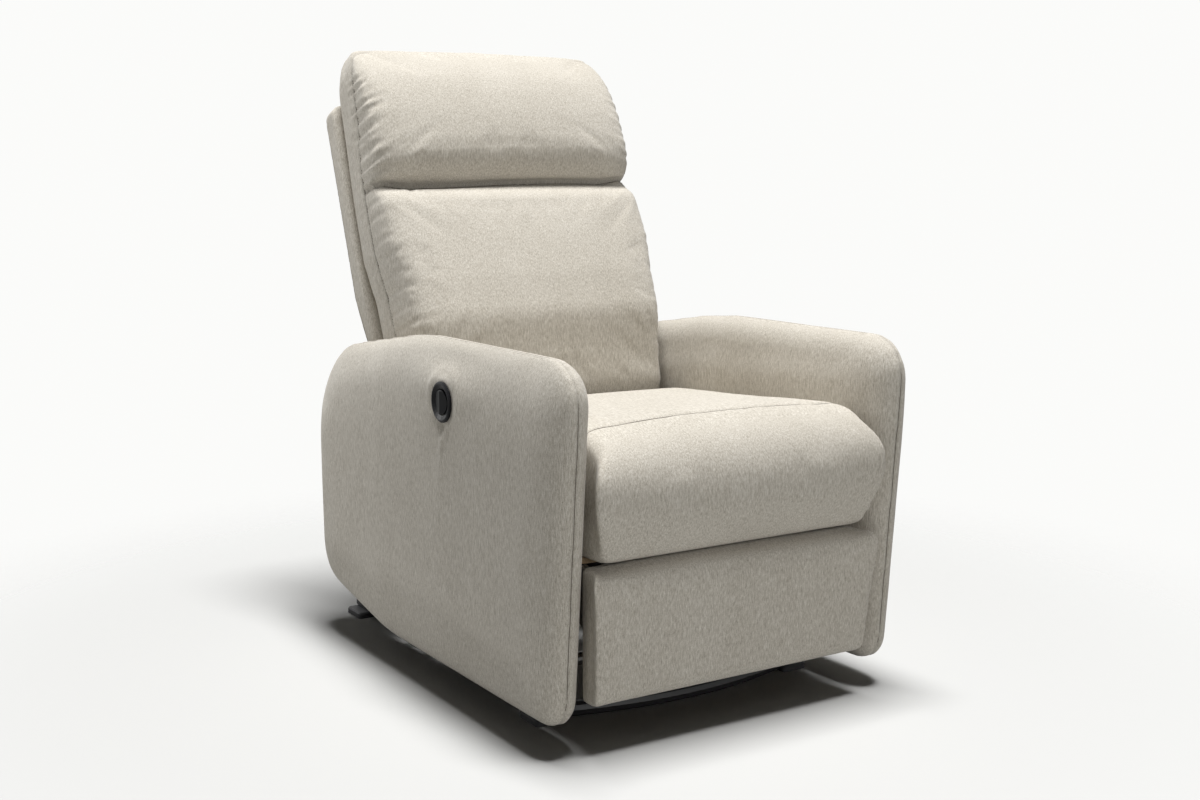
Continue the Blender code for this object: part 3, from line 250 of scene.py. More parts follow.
def make_fabric():
    cloth = Finish("greige_weave", 0.92)
    normal = cloth.node("ShaderNodeTexCoord").out("Normal")
    up = cloth.node("ShaderNodeSeparateXYZ", None, {0: normal}).out("Z").size()
    level = cloth.rise(up, 0.72, 0.93)
    standing = cloth.noise(cloth.stretched((ACROSS_STREAK, ACROSS_STREAK, ALONG_STREAK)), **STREAKS)
    lying = cloth.noise(cloth.stretched((ACROSS_STREAK, ALONG_STREAK, ACROSS_STREAK)), **STREAKS)
    streak = standing * (1.0 - level) + lying * level
    grain = cloth.noise(cloth.place(), 760.0, 1.0)
    mottle = cloth.noise(cloth.stretched((9.0, 9.0, 5.0)), 1.0, 3.0)
    tone = cloth.ramp(streak * 0.72 + grain * 0.28 + mottle * 0.10, WEAVE_TONES)
    # The seam attribute carries painted shade: it darkens the cloth at the bottom of each pressed groove.
    seam = cloth.node("ShaderNodeAttribute", {"attribute_name": "seam"}).out("Fac")
    cloth.set("Base Color", cloth.blend(seam * SEAM_SHADE_SHARE, tone, SEAM_SHADE_TONE))
    cloth.bump(streak * 0.7 + grain * 0.5, strength=0.45, distance=0.0009)
    cloth.set("Sheen Weight", 0.18)
    cloth.set("Sheen Roughness", 0.45)
    cloth.set("Specular IOR Level", 0.25)
    return cloth.material


fabric = make_fabric()
print("finish:", fabric.name)

# %% [markdown]
# ## Steel and aluminium
# The links are zinc plated, which leaves cloudy crystals; cells and soft clouds together give them. The
# base is powder coated, with the fine skin of an orange. The sleeve of the lift drive is drawn aluminium,
# with lines along its length. Each pattern also changes the roughness, because a highlight that breaks up
# says more about a metal than its colour does.

# %% Metal finishes
ZINC_TONES = [(0.25, (0.36, 0.36, 0.355)), (0.75, (0.60, 0.60, 0.585))]


def make_zinc():
    zinc = Finish("zinc_plate", 0.4, metal=1.0)
    sockets = {"Vector": zinc.place(), "Scale": 95.0}
    cells = zinc.node("ShaderNodeTexVoronoi", {"feature": "F1"}, sockets).out("Color")
    cell = zinc.node("ShaderNodeSeparateColor", None, {0: cells}).out(0)
    cloud = zinc.noise(zinc.place(), 22.0, 4.0)
    tone = cell * 0.25 + cloud * 0.75
    zinc.set("Base Color", zinc.ramp(tone, ZINC_TONES))
    zinc.set("Roughness", tone * 0.28 + 0.26)
    zinc.bump(zinc.noise(zinc.stretched((300.0, 40.0, 300.0)), 1.0), strength=0.12, distance=0.0004)
    return zinc.material


def make_powder_coat():
    coat = Finish("black_powder_coat", 0.5)
    peel = coat.noise(coat.place(), 520.0)
    wear = coat.noise(coat.place(), 14.0, 5.0)
    coat.set("Base Color", coat.blend(wear, (0.013, 0.013, 0.014), (0.030, 0.030, 0.031)))
    coat.set("Roughness", peel * 0.22 + 0.36)
    coat.bump(peel, strength=0.25, distance=0.0003)
    return coat.material


def make_drawn_tube():
    tube = Finish("drawn_aluminium", 0.32, metal=1.0)
    lines = tube.noise(tube.stretched((900.0, 6.0, 900.0)), 1.0)
    tube.set("Base Color", tube.blend(lines, (0.62, 0.62, 0.63), (0.78, 0.78, 0.79)))
    tube.set("Roughness", lines * 0.22 + 0.22)
    tube.bump(lines, strength=0.1, distance=0.0002)
    return tube.material


finishes = {"fabric": fabric, "zinc_steel": make_zinc(), "black_paint": make_powder_coat(),
            "sleeve_aluminium": make_drawn_tube()}
print("finishes so far:", sorted(finishes))

# %% [markdown]
# ## Plastic and board
# Moulded plastic takes a faint spark texture from its mould and a little dust, and one function makes all
# three kinds, from the dull feet to the shiny switch. Plywood has a long grain with darker streaks: two
# noises, both stretched along the board. At the end every solid gets the finish of its material slot.

# %% Plastic and board finishes
PLY_TONES = [(0.30, (0.36, 0.235, 0.125)), (0.50, (0.56, 0.41, 0.25)), (0.70, (0.68, 0.53, 0.35))]
DUST_LIGHTENS, DUST_ROUGHENS = 1.8, 0.12


def make_moulding(name, base, rough, grain, shine):
    plastic = Finish(name, rough)
    spark = plastic.noise(plastic.place(), 1100.0, 1.0)
    dust = plastic.noise(plastic.place(), 30.0, 4.0)
    plastic.set("Base Color", plastic.blend(dust, base, tuple(c * DUST_LIGHTENS for c in base)))
    plastic.set("Roughness", dust * DUST_ROUGHENS + (rough - DUST_ROUGHENS / 2.0))
    plastic.set("Specular IOR Level", shine)
    plastic.bump(spark, grain, distance=0.0002)
    return plastic.material


def make_plywood():
    board = Finish("plywood", 0.7)
    grain = board.noise(board.stretched((46.0, 3.0, 46.0)), 1.0, 6.0, 0.6)
    fibre = board.noise(board.stretched((420.0, 14.0, 420.0)), 1.0)
    board.set("Base Color", board.ramp(grain * 0.7 + fibre * 0.3, PLY_TONES))
    board.set("Roughness", fibre * 0.3 + 0.55)
    board.bump(fibre, strength=0.3, distance=0.0004)
    return board.material


finishes["foot_plastic"] = make_moulding(
    "foot_moulding", (0.016, 0.016, 0.017), rough=0.62, grain=0.35, shine=0.4)
finishes["black_plastic"] = make_moulding(
    "housing_moulding", (0.014, 0.014, 0.015), rough=0.52, grain=0.30, shine=0.5)
finishes["gloss_black"] = make_moulding(
    "switch_moulding", (0.006, 0.006, 0.007), rough=0.30, grain=0.06, shine=0.14)
finishes["plywood"] = make_plywood()
for part in frame["record"]["subparts"]:
    node = frame["nodes"][part["node"]]
    node.data.materials.clear()
    node.data.materials.append(finishes[part["material_slot"]])
print("finishes:", sorted(finishes))

# %% [markdown]
# ## Points of a mesh
# A cover is shaped by moving its points, and numpy moves whole columns of them at once. These helpers read
# and write the points, read the normals, and turn an object with modifiers into a plain mesh.

# %% Points, normals and modifiers
def new_piece(name, mesh):
    piece = bpy.data.objects.new(name, mesh)
    scene.collection.objects.link(piece)
    return piece


def apply_modifiers(piece):
    view = bpy.context.evaluated_depsgraph_get()
    result = bpy.data.meshes.new_from_object(piece.evaluated_get(view))
    piece.modifiers.clear()
    old = piece.data
    piece.data = result
    bpy.data.meshes.remove(old)


def columns(items, field):
    """One vector of every item, as rows of three."""
    flat = np.empty(len(items) * 3)
    items.foreach_get(field, flat)
    return flat.reshape(-1, 3)


def points_of(piece):
    return columns(piece.data.vertices, "co")


def normals_of(piece):
    return columns(piece.data.vertex_normals, "vector")


def move_points(piece, points):
    piece.data.vertices.foreach_set("co", np.ascontiguousarray(points, dtype=np.float64).ravel())
    piece.data.update()


def push_out(piece, height):
    """Move every point along its normal, each by its own height."""
    move_points(piece, points_of(piece) + normals_of(piece) * height[:, None])


# %% [markdown]
# ## Even copies and cloth pressure
# A padded piece starts as a copy of its solid, a little smaller than it and meshed evenly, because cloth
# moves best on faces of one size. Cloth with pressure then puffs it up, while the points that are sewn or
# stapled stay put. Sculpting could swell it too, but pressure finds by itself how a cover stands between
# its seams. The movement is capped, so that the piece keeps its place between its neighbours.

# %% Copy and puff
DOUBLES = 0.00002
PUFF_STEPS = 20
COVER_CLOTH = {"quality": 3, "mass": 0.3, "tension_stiffness": 14.0, "compression_stiffness": 14.0,
               "shear_stiffness": 6.0, "bending_stiffness": 0.5, "use_pressure": True}


def relax(piece, rounds):
    """Ease the steps that a voxel remesh leaves."""
    if rounds == 0:
        return
    ease = piece.modifiers.new("ease", "SMOOTH")
    ease.factor = 0.5
    ease.iterations = rounds
    apply_modifiers(piece)


def even_copy(name, node, shrink, voxel):
    """A new object with the node's shape, drawn in a little and meshed evenly."""
    shape = bmesh.new()
    shape.from_mesh(frame["nodes"][node].data)
    bmesh.ops.remove_doubles(shape, verts=shape.verts, dist=DOUBLES)
    bmesh.ops.recalc_face_normals(shape, faces=shape.faces)
    mesh = bpy.data.meshes.new(name)
    shape.to_mesh(mesh)
    shape.free()
    piece = new_piece(name, mesh)
    remesh = piece.modifiers.new("even", "REMESH")
    remesh.mode = "VOXEL"
    remesh.voxel_size = voxel
    apply_modifiers(piece)
    relax(piece, 2)
    move_points(piece, points_of(piece) - shrink * normals_of(piece))
    return piece


def puff(piece, sewn, pressure, cap, slack=0.0):
    """Blow a piece up; points where sewn is 1 stay, and no point moves further than the cap."""
    start = points_of(piece)
    held = piece.vertex_groups.new(name="sewn")
    for index in np.nonzero(sewn > 0.01)[0]:
        held.add([int(index)], float(sewn[index]), "REPLACE")
    cloth = piece.modifiers.new("puff", "CLOTH")
    for key, value in COVER_CLOTH.items():
        setattr(cloth.settings, key, value)
    cloth.settings.uniform_pressure_force = pressure
    cloth.settings.shrink_min = -slack
    cloth.settings.vertex_group_mass = "sewn"
    cloth.settings.effector_weights.gravity = 0.0
    cloth.collision_settings.use_collision = False
    for step in range(1, PUFF_STEPS + 1):
        scene.frame_set(step)
    shown = piece.evaluated_get(bpy.context.evaluated_depsgraph_get()).data
    moved = columns(shown.vertices, "co") - start
    reach = np.maximum(np.linalg.norm(moved, axis=1, keepdims=True), 1e-9)
    moved *= cap * np.tanh(reach / cap) / reach
    piece.modifiers.clear()
    piece.vertex_groups.clear()
    scene.frame_set(1)
    move_points(piece, start + moved)
    print(piece.name, "puffed by up to", round(float(reach.max()) * 1000, 1), "mm")


# %% [markdown]
# ## Fit, fill and finish
# Pressure rounds a cover and pulls its corners in. A real cover is cut to its foam, so the puffed one is
# stretched to the box of its solid, and points that sank inside the solid come back out. That shift is
# averaged over neighbouring points, so the solid's facets don't print through. One subdivision then makes
# the mesh fine enough for seams, and the cover is handed to the body that it rides on.

# %% Fitted covers
BROAD_ROUNDS, CORNER_ROUNDS = 60, 2
FACET_DEPTH = 0.0016


def fit(points, model):
    """Stretch points so that their box is the box of the model's points."""
    low, high = points.min(axis=0), points.max(axis=0)
    want_low, want_high = model.min(axis=0), model.max(axis=0)
    return want_low + (points - low) * (want_high - want_low) / (high - low)


def fit_to(piece, model, leans):
    """Fit a piece to the box of its solid, in the frame of the back where it leans."""
    if leans:
        move_points(piece, upright(fit(leaning(points_of(piece)), leaning(model))))
    else:
        move_points(piece, fit(points_of(piece), model))


def spread(piece, field, rounds):
    """Average vectors over neighbouring points, a number of times."""
    ends = np.empty(len(piece.data.edges) * 2, dtype=np.int32)
    piece.data.edges.foreach_get("vertices", ends)
    first, second = ends.reshape(-1, 2).T
    number = len(field)
    count = np.bincount(ends, minlength=number)[:, None]
    for _ in range(rounds):
        total = [np.bincount(first, column[second], number) + np.bincount(second, column[first], number)
                 for column in field.T]
        field = 0.5 * field + 0.5 * np.stack(total, axis=1) / count
    return field


def fill_out(piece, node):
    """Bring points that sank inside the solid back out; the solid's facets are averaged away."""
    solid = BVHTree.FromObject(frame["nodes"][node], bpy.context.evaluated_depsgraph_get())
    points = points_of(piece)
    wanted = np.zeros_like(points)
    for index, point in enumerate(points):
        near, normal, _, _ = solid.find_nearest(Vector(point))
        outward = near - Vector(point)
        if outward.dot(normal) > 0.0:
            wanted[index] = outward
    broad = spread(piece, wanted, BROAD_ROUNDS)
    rest = wanted - broad
    size = np.maximum(np.linalg.norm(rest, axis=1, keepdims=True), 1e-9)
    corners = spread(piece, rest * np.clip(1.0 - FACET_DEPTH / size, 0.0, 1.0), CORNER_ROUNDS)
    move_points(piece, points + broad + corners)


def finish_soft(piece, body, node, leans=False, eased=0):
    """Fill the solid, subdivide once, cover in fabric, and hand the piece to its body."""
    model = points_of(frame["nodes"][node])
    fit_to(piece, model, leans)
    fill_out(piece, node)
    relax(piece, eased)
    fine = piece.modifiers.new("fine", "SUBSURF")
    fine.levels = 1
    fine.render_levels = 1
    apply_modifiers(piece)
    fit_to(piece, model, leans)
    piece.data.materials.clear()
    piece.data.materials.append(fabric)
    piece.data.polygons.foreach_set("use_smooth", np.ones(len(piece.data.polygons), dtype=bool))
    # An attribute for the painted shade at the bottoms of seam grooves; press_seam fills it in.
    piece.data.attributes.new("seam", "FLOAT", "POINT")
    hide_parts(node)
    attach(piece, body)


# %% [markdown]
# ## Seams, folds and waves
# Seams and creases are narrower than the voxels that the remesh uses, so they are pressed in afterwards,
# as heights along the normals. A seam is a bell-shaped groove. A fold is a groove between two raised
# shoulders that dies out along its own direction. A few slow sine waves keep large panels from looking
# machined.

# %% Curves and heights
SHOULDER_OFF, SHOULDER_SHARE = 1.9, 0.55
FOLD_WIDENS, FOLD_FADE = 0.7, 1.3
EASED_PART = 0.06
WAVES = 6


def step_up(values, low, high):
    """A smooth step from 0 at low to 1 at high."""
    share = np.clip((values - low) / (high - low), 0.0, 1.0)
    return share * share * (3.0 - 2.0 * share)


def bell(distance, width):
    return np.exp(-((distance / width) ** 2))


def ease_in(x, half):
    """Keep points between two sides; the last bit before a side is eased, so that no edge shows."""
    share = np.abs(x) / half
    straight = 1.0 - EASED_PART
    eased = straight + EASED_PART * np.tanh((share - straight) / EASED_PART)
    return np.sign(x) * half * np.where(share > straight, eased, share)


def ripple(points, seed, scale):
    """A smooth made-up waviness: a few sine waves in directions fixed by the seed."""
    rng = np.random.default_rng(seed)
    total = np.zeros(len(points))
    for _ in range(WAVES):
        direction = rng.normal(size=3)
        direction *= scale * rng.uniform(0.6, 1.5) / np.linalg.norm(direction)
        total += np.sin(points @ direction + rng.uniform(0.0, math.tau))
    return total / WAVES


def press_seam(piece, distance, depth, width, where=1.0):
    """Press a groove where distance is small, and mark its bottom for painted shade in the cloth."""
    push_out(piece, -depth * bell(distance, width) * where)
    # The mark is painted shade: darker cloth along the bottom of the groove.
    line = 0.45 * bell(distance, 0.8 * width) * where
    marks = piece.data.attributes["seam"].data
    old = np.empty(len(line))
    marks.foreach_get("value", old)
    marks.foreach_set("value", np.maximum(old, line))


def creases(flat, starts, turns, lengths, depth, width):
    """Heights of short folds on a flat map: each starts at a point and dies out along its direction."""
    height = np.zeros(len(flat))
    for start, turn, length in zip(starts, turns, lengths):
        ahead = np.array([math.cos(math.radians(turn)), math.sin(math.radians(turn))])
        apart = flat - np.array(start)
        run = apart @ ahead
        off = apart @ np.array([-ahead[1], ahead[0]])
        fade = np.clip(1.0 - run / length, 0.0, 1.0) ** FOLD_FADE * step_up(run, -0.006, 0.004)
        wide = width * (1.0 + FOLD_WIDENS * np.clip(run, 0.0, None) / length)
        shoulder = bell(np.abs(off) - SHOULDER_OFF * wide, wide)
        height += depth * fade * (SHOULDER_SHARE * shoulder - bell(off, wide))
    return height


# %% [markdown]
# ## Seat cushion
# The seat is a foam block in a sewn cover: a crowned top panel joins a front band in one fine seam, and
# the band rolls over the front and tucks in above the footrest. It is stapled under the deck, so its
# underside and its rear edge stay still while the rest puffs. Where the arms' front edges round off, the
# nose spreads a little, as soft foam does, and short pulls mark its lower corners.

# %% Seat
SEAT_SEAM_Y, SEAT_SEAM_BOW = -0.404, 0.006
NOSE_SPREADS, NOSE_HALF, SEAT_HALF = 0.075, 0.288, 0.262
CORNER_PULLS = {"starts": [(0.0, 0.300), (0.0, 0.312), (0.002, 0.330)], "turns": [28, 12, -10],
                "lengths": [0.030, 0.038, 0.026], "depth": 0.0022, "width": 0.0042}


def seat_seam(x):
    """How far back the seat's cross seam runs: a slow bow."""
    return SEAT_SEAM_Y + SEAT_SEAM_BOW * np.cos(x * 7.0)


seat = even_copy("seat_cover", "seat_cushion", shrink=0.002, voxel=0.0074)
x, y, z = points_of(seat).T
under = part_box("seat_cushion")[0][2]
sewn = np.maximum(1.0 - step_up(z, under + 0.006, under + 0.026), step_up(y, 0.045, 0.065))
puff(seat, sewn, pressure=2.2, cap=0.012)
finish_soft(seat, "frame", "seat_cushion", eased=14)
co = points_of(seat)
x, y, z = co.T
x *= 1.0 + NOSE_SPREADS * step_up(-y, 0.452, 0.490)
x[:] = ease_in(x, np.minimum(beside_arms(y), NOSE_HALF))
z += 0.0012 * ripple(co, seed=3, scale=22.0) * step_up(normals_of(seat)[:, 2], 0.2, 0.6)
move_points(seat, co)
press_seam(seat, y - seat_seam(x), depth=0.0028, width=0.0042, where=step_up(z, 0.44, 0.46))
front = step_up(-normals_of(seat)[:, 1], 0.2, 0.6)
for sign in (-1.0, 1.0):
    flat = np.stack([SEAT_HALF - sign * x, z], axis=1)
    push_out(seat, creases(flat, **CORNER_PULLS) * front)
print("seat cover:", len(seat.data.polygons), "faces")

# %% [markdown]
# ## Footrest pad
# A thin pad on a board. It is stapled round the rear of the board, so only its face and its edges swell.
# Its face stands forward a little, and its sides spread to fill the room between the arms' front edges.

# %% Footrest
PAD_FORWARD, PAD_SPREADS = 0.008, 0.060

pad = even_copy("footrest_cover", "footrest_pad", shrink=0.001, voxel=0.0050)
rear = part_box("footrest_pad")[1][1]
sewn = step_up(points_of(pad)[:, 1], rear - 0.022, rear - 0.010)
puff(pad, sewn, pressure=1.6, cap=0.007)
finish_soft(pad, "footrest", "footrest_pad")
co = points_of(pad)
x, y, z = co.T
y -= PAD_FORWARD * step_up(-y, 0.430, 0.470)
x *= 1.0 + PAD_SPREADS * step_up(-y, 0.445, 0.478)
x[:] = ease_in(x, beside_arms(y))
y += 0.0010 * ripple(co, seed=11, scale=22.0) * step_up(-normals_of(pad)[:, 1], 0.3, 0.7)
move_points(pad, co)
print("footrest cover:", len(pad.data.polygons), "faces")

# %% [markdown]
# ## Back cushion and head roll
# One cover with a sewn crease: below it the back swells, above it the head roll stands out. It could be
# two cushions, but on the chair one cloth runs over both. The crease, the side seams and the rear are
# held, and the cover has a little more cloth than it needs, so that it fills out between them. After that
# the lower end rolls under, the roll tucks in towards the crease, and the sides keep between the arms.

# %% Back cushion
CREASE_LIFT, HEAD_LIFT = 0.001, 0.005
SEWN_CREASE = CREASE + CREASE_LIFT
ROLL_UNDER, HEAD_TUCK, HEAD_TAPER = 0.022, 0.011, 0.036
BACK_HALF = 0.2535


def crease_bend(x):
    """How far the crease strays from its straight line: a slow wave, and a rise at both ends."""
    return 0.003 + 0.003 * np.sin(x * 9.0 + 0.6) + 0.007 * step_up(np.abs(x), 0.20, 0.262)


def back_seam(along):
    """Where the side seams lie across the back: further forward beside the head roll."""
    return -0.036 - 0.016 * step_up(along, 0.54, 0.64)


back = even_copy("back_cover", "back_cushion", shrink=0.002, voxel=0.0068)
x, along, across = leaning(points_of(back)).T
crease = bell(along - CREASE, 0.010) * step_up(-across, 0.030, 0.060)
side = bell(across - back_seam(along), 0.008) * step_up(np.abs(x), 0.225, 0.240)
sewn = np.maximum(np.maximum(crease, side), step_up(across, -0.010, 0.010))
puff(back, np.clip(sewn, 0.0, 1.0), pressure=2.2, cap=0.014, slack=0.004)
finish_soft(back, "back", "back_cushion", leans=True)
lean = leaning(points_of(back))
x, along, across = lean.T
across += ROLL_UNDER * (1.0 - step_up(along, 0.13, 0.25)) * step_up(-across, 0.04, 0.07)
along += CREASE_LIFT * step_up(along, 0.25, 0.45) + HEAD_LIFT * step_up(along, 0.52, 0.70)
above = along - SEWN_CREASE - crease_bend(x)
tuck = step_up(above, -0.004, 0.004) * (1.0 - step_up(above, 0.004, 0.060))
across += HEAD_TUCK * tuck * step_up(-across, 0.03, 0.06)
half = BACK_HALF + 0.009 * step_up(along, 0.18, 0.27) + 0.0125 * step_up(along, 0.27, 0.38)
half -= HEAD_TAPER * np.clip(along - SEWN_CREASE, 0.0, None)
x[:] = np.clip(x, -half, half)
move_points(back, upright(lean))
print("back cover:", len(back.data.polygons), "faces")

# %% [markdown]
# ## Puckers and seams of the back
# Where the cloth of the head roll is gathered into its side seams, it puckers: short slanting folds at
# uneven distances. They are drawn by a generator with a fixed seed, so that every run gives the same
# folds. Below the crease they are fainter and nearly level, and four pleats start at the crease itself.

# %% Folds of the back
FOLDS = 10
FOLD_START = -0.004
PLEATS = {"turns": [97.0, 128.0, 52.0, -118.0], "lengths": [0.030, 0.045, 0.045, 0.040],
          "depth": 0.0026, "width": 0.0045}
PLEAT_PLACES = [(0.035, 0.004), (-0.190, 0.003), (0.205, 0.003), (-0.205, -0.004)]


def draw_folds(rng, rows, stray, turns, lengths):
    """Folds along a side seam, one for each row: all starts are drawn first, then turns, then lengths."""
    starts = [(FOLD_START, row + rng.uniform(-stray, stray)) for row in rows]
    return starts, [rng.uniform(*turns) for _ in rows], [rng.uniform(*lengths) for _ in rows]


rng = np.random.default_rng(21)
head_rows = np.linspace(SEWN_CREASE + 0.020, SEWN_CREASE + 0.205, FOLDS)
low_rows = np.linspace(0.16, SEWN_CREASE - 0.02, FOLDS)
pucker = np.zeros(len(lean))
for sign in (-1.0, 1.0):
    flat = np.stack([half - sign * x, along], axis=1)
    folds = draw_folds(rng, head_rows, stray=0.009, turns=(12.0, 34.0), lengths=(0.022, 0.070))
    pucker += creases(flat, *folds, depth=0.0019 - sign * 0.0004, width=0.0040)
    folds = draw_folds(rng, low_rows, stray=0.010, turns=(-14.0, 14.0), lengths=(0.018, 0.040))
    pucker += creases(flat, *folds, depth=0.0012, width=0.0042)
flat = np.stack([x, along], axis=1)
pucker += creases(flat, [(place, SEWN_CREASE + rise) for place, rise in PLEAT_PLACES], **PLEATS)
wave = 0.0013 * ripple(upright(lean), seed=9, scale=16.0)
push_out(back, (pucker + wave) * step_up(-across, 0.020, 0.055))
x, along, across = leaning(points_of(back)).T
in_front, at_sides = step_up(-across, 0.030, 0.050), step_up(np.abs(x), 0.20, 0.235)
press_seam(back, along - SEWN_CREASE - crease_bend(x), depth=0.0085, width=0.0050, where=in_front)
press_seam(back, across - back_seam(along), depth=0.0022, width=0.0038, where=at_sides)
print("folds up to", round(float(np.abs(pucker).max()) * 1000, 1), "mm")

# %% [markdown]
# ## Rear panel of the back
# A padded board closes the back from behind. Its cover is pulled round the edge and stapled in front, so
# the front is held, the rear face is gently crowned, and a welt seam runs round it. Low down it narrows,
# where it passes between the arms.

# %% Rear panel
PANEL_SEAM = 0.082
PANEL_HALF, PANEL_WIDENS = 0.2635, 0.0145

panel = even_copy("back_panel_cover", "back_panel", shrink=0.0015, voxel=0.0088)
sewn = 1.0 - step_up(leaning(points_of(panel))[:, 2], 0.040, 0.052)
puff(panel, sewn, pressure=1.6, cap=0.006)
finish_soft(panel, "back", "back_panel", leans=True)
co = points_of(panel)
x, along, across = leaning(co).T
half = PANEL_HALF + PANEL_WIDENS * step_up(along, 0.22, 0.33)
co[:, 0] = np.clip(x, -half, half)
move_points(panel, co)
press_seam(panel, across - PANEL_SEAM, depth=0.0020, width=0.0040)
print("rear panel cover:", len(panel.data.polygons), "faces")

# %% [markdown]
# ## Arms
# Each arm is a foam-wrapped slab. Its two face panels meet in a seam round the middle of its edge, which
# is held while both faces swell a little. Foam is thinner over the outer shoulder, so the outer face is
# drawn in towards the top and rolls over softly. One function dresses both arms, with a sign for the side.

# %% Arms
ARM_OUTER, SHOULDER_IN, SHOULDER_DEPTH = 0.3475, 0.018, 0.17
ARM_REAR_OUT, ARM_FOOT_DOWN = 0.010, 0.005
TOP_SLOTS, SLOT_REACH = 60, 0.02


def edge_share(arm):
    """1 on the arm's narrow edge, and 0 on its two faces."""
    return np.linalg.norm(normals_of(arm)[:, 1:], axis=1)


def make_arm(node, name, sign):
    arm = even_copy(name, node, shrink=0.0015, voxel=0.0096)
    x, y, z = points_of(arm).T
    sewn = bell(x - sign * ARM_MIDDLE, 0.005) * step_up(edge_share(arm), 0.7, 0.9)
    if sign < 0:
        ring = np.hypot(y - SWITCH_Y, z - SWITCH_Z)
        sewn = np.maximum(sewn, (1.0 - step_up(ring, 0.030, 0.038)) * (x < -ARM_MIDDLE))
    puff(arm, sewn, pressure=1.6, cap=0.006)
    finish_soft(arm, "frame", node, eased=10)
    return arm


def below_top(arm, co):
    """Depth of each point under the arm's top line at the same distance from the front."""
    ridge = co[normals_of(arm)[:, 2] > 0.6]
    slots = np.linspace(co[:, 1].min(), co[:, 1].max(), TOP_SLOTS)
    heights = [ridge[np.abs(ridge[:, 1] - y) < SLOT_REACH][:, 2].max(initial=0.0) for y in slots]
    return np.interp(co[:, 1], slots, heights) - co[:, 2]


def dress_arm(arm, sign):
    """Draw the outer shoulder in, so that it rolls over softly, and press the seam round the middle."""
    co = points_of(arm)
    x, y, z = co.T
    out = np.clip(sign * x, ARM_INNER + 0.0002, ARM_OUTER)
    outside = np.clip((out - ARM_MIDDLE) / ARM_ROUND, 0.0, 1.0)
    out -= SHOULDER_IN * outside * np.clip(1.0 - below_top(arm, co) / SHOULDER_DEPTH, 0.0, 1.0) ** 2
    x[:] = sign * out
    y += ARM_REAR_OUT * step_up(y, 0.0, 0.35) * (1.0 - 0.6 * step_up(z, 0.42, 0.56))
    z -= ARM_FOOT_DOWN * (1.0 - step_up(z, 0.06, 0.30))
    face = step_up(np.abs(normals_of(arm)[:, 0]), 0.6, 0.9) * (out > ARM_MIDDLE)
    x += sign * 0.0011 * ripple(co, seed=13 + int(sign), scale=17.0) * face
    move_points(arm, co)
    middle = points_of(arm)[:, 0] - sign * ARM_MIDDLE
    press_seam(arm, middle, depth=0.0024, width=0.0040, where=step_up(edge_share(arm), 0.75, 0.92))


arm_left = make_arm("arm_left", "arm_cover_left", 1.0)
arm_right = make_arm("arm_right", "arm_cover_right", -1.0)
dress_arm(arm_left, 1.0)
dress_arm(arm_right, -1.0)
print("arm covers:", len(arm_left.data.polygons), "and", len(arm_right.data.polygons), "faces")

# %% [markdown]
# ## Cloth round the switch
# The bezel of the switch clamps the cloth of the right arm. The cloth lies flush round it and presses in
# under its rim, bulges a little above it, and below it a pointed valley runs out in one long soft fold.
# Cloth simulation would need the bezel as a collider and a finer mesh, so these are written as heights.

# %% Dimple and fold at the switch
OUTER_FACE = -0.325
BULGE, VALLEY, FOLD, PLEAT = 0.0026, 0.0090, 0.0075, 0.0006


def switch_pull(arm):
    """The bezel presses the cloth into a dimple, with a pointed valley and a long fold below it."""
    co = points_of(arm)
    x, y, z = co.T
    dy, dz = y - SWITCH_Y, z - SWITCH_Z
    ring = np.hypot(dy, dz)
    outer = (x < OUTER_FACE).astype(float)
    flush = outer * (1.0 - step_up(ring, 0.040, 0.170)) * step_up(below_top(arm, co), 0.02, 0.09)
    x += (SWITCH_FACE - x) * flush
    above = np.clip(0.5 + 0.5 * (0.6 * dy + 0.8 * dz) / np.maximum(ring, 1e-6), 0.0, 1.0)
    x -= BULGE * bell(ring - 0.049, 0.010) * above * outer
    press = outer * (1.0 - step_up(ring, BEZEL + 0.001, BEZEL + 0.015))
    x += (SWITCH_FACE + 0.0006 - x) * press
    drop = np.clip(-dz - BEZEL, 0.0, 1.0)
    under = step_up(-dz, BEZEL - 0.006, BEZEL + 0.004)
    valley = bell(dy - 0.003, 0.016 - 0.30 * np.clip(drop, 0.0, 0.030))
    valley *= under * (1.0 - step_up(drop, 0.008, 0.030))
    path = dy + 0.014 * np.exp(-drop / 0.020) - 0.16 * drop
    fold = bell(path, 0.0065 + 0.08 * drop) * np.exp(-drop / 0.070) * under
    pleats = np.sin(np.arctan2(dz, dy) * 5.0 + 0.8) * bell(ring - 0.050, 0.013) * (1.0 - under)
    x += (VALLEY * valley - FOLD * fold + PLEAT * pleats) * outer
    move_points(arm, co)


switch_pull(arm_right)
print("cloth pressed round the switch at", SWITCH_Y, SWITCH_Z)

# %% [markdown]
# ## Node trees for thread and rivets
# Thread is far finer than the cushions' meshes, so it is its own geometry. One node tree turns a path
# into a row of stitches, another into a thin dark tube of painted shadow where two panels meet, and a
# third sets a low dome on each point. Node trees suit this, because pitch, length and thickness stay plain
# inputs, and every row follows its cover.

# %% Trees
def new_tree(name, inputs):
    tree = bpy.data.node_groups.new(name, "GeometryNodeTree")
    tree.interface.new_socket("Path", in_out="INPUT", socket_type="NodeSocketGeometry")
    for label in inputs:
        tree.interface.new_socket(label, in_out="INPUT", socket_type="NodeSocketFloat")
    tree.interface.new_socket("Finish", in_out="INPUT", socket_type="NodeSocketMaterial")
    tree.interface.new_socket("Geometry", in_out="OUTPUT", socket_type="NodeSocketGeometry")
    nodes = Nodes(tree)
    return nodes, nodes.node("NodeGroupInput")


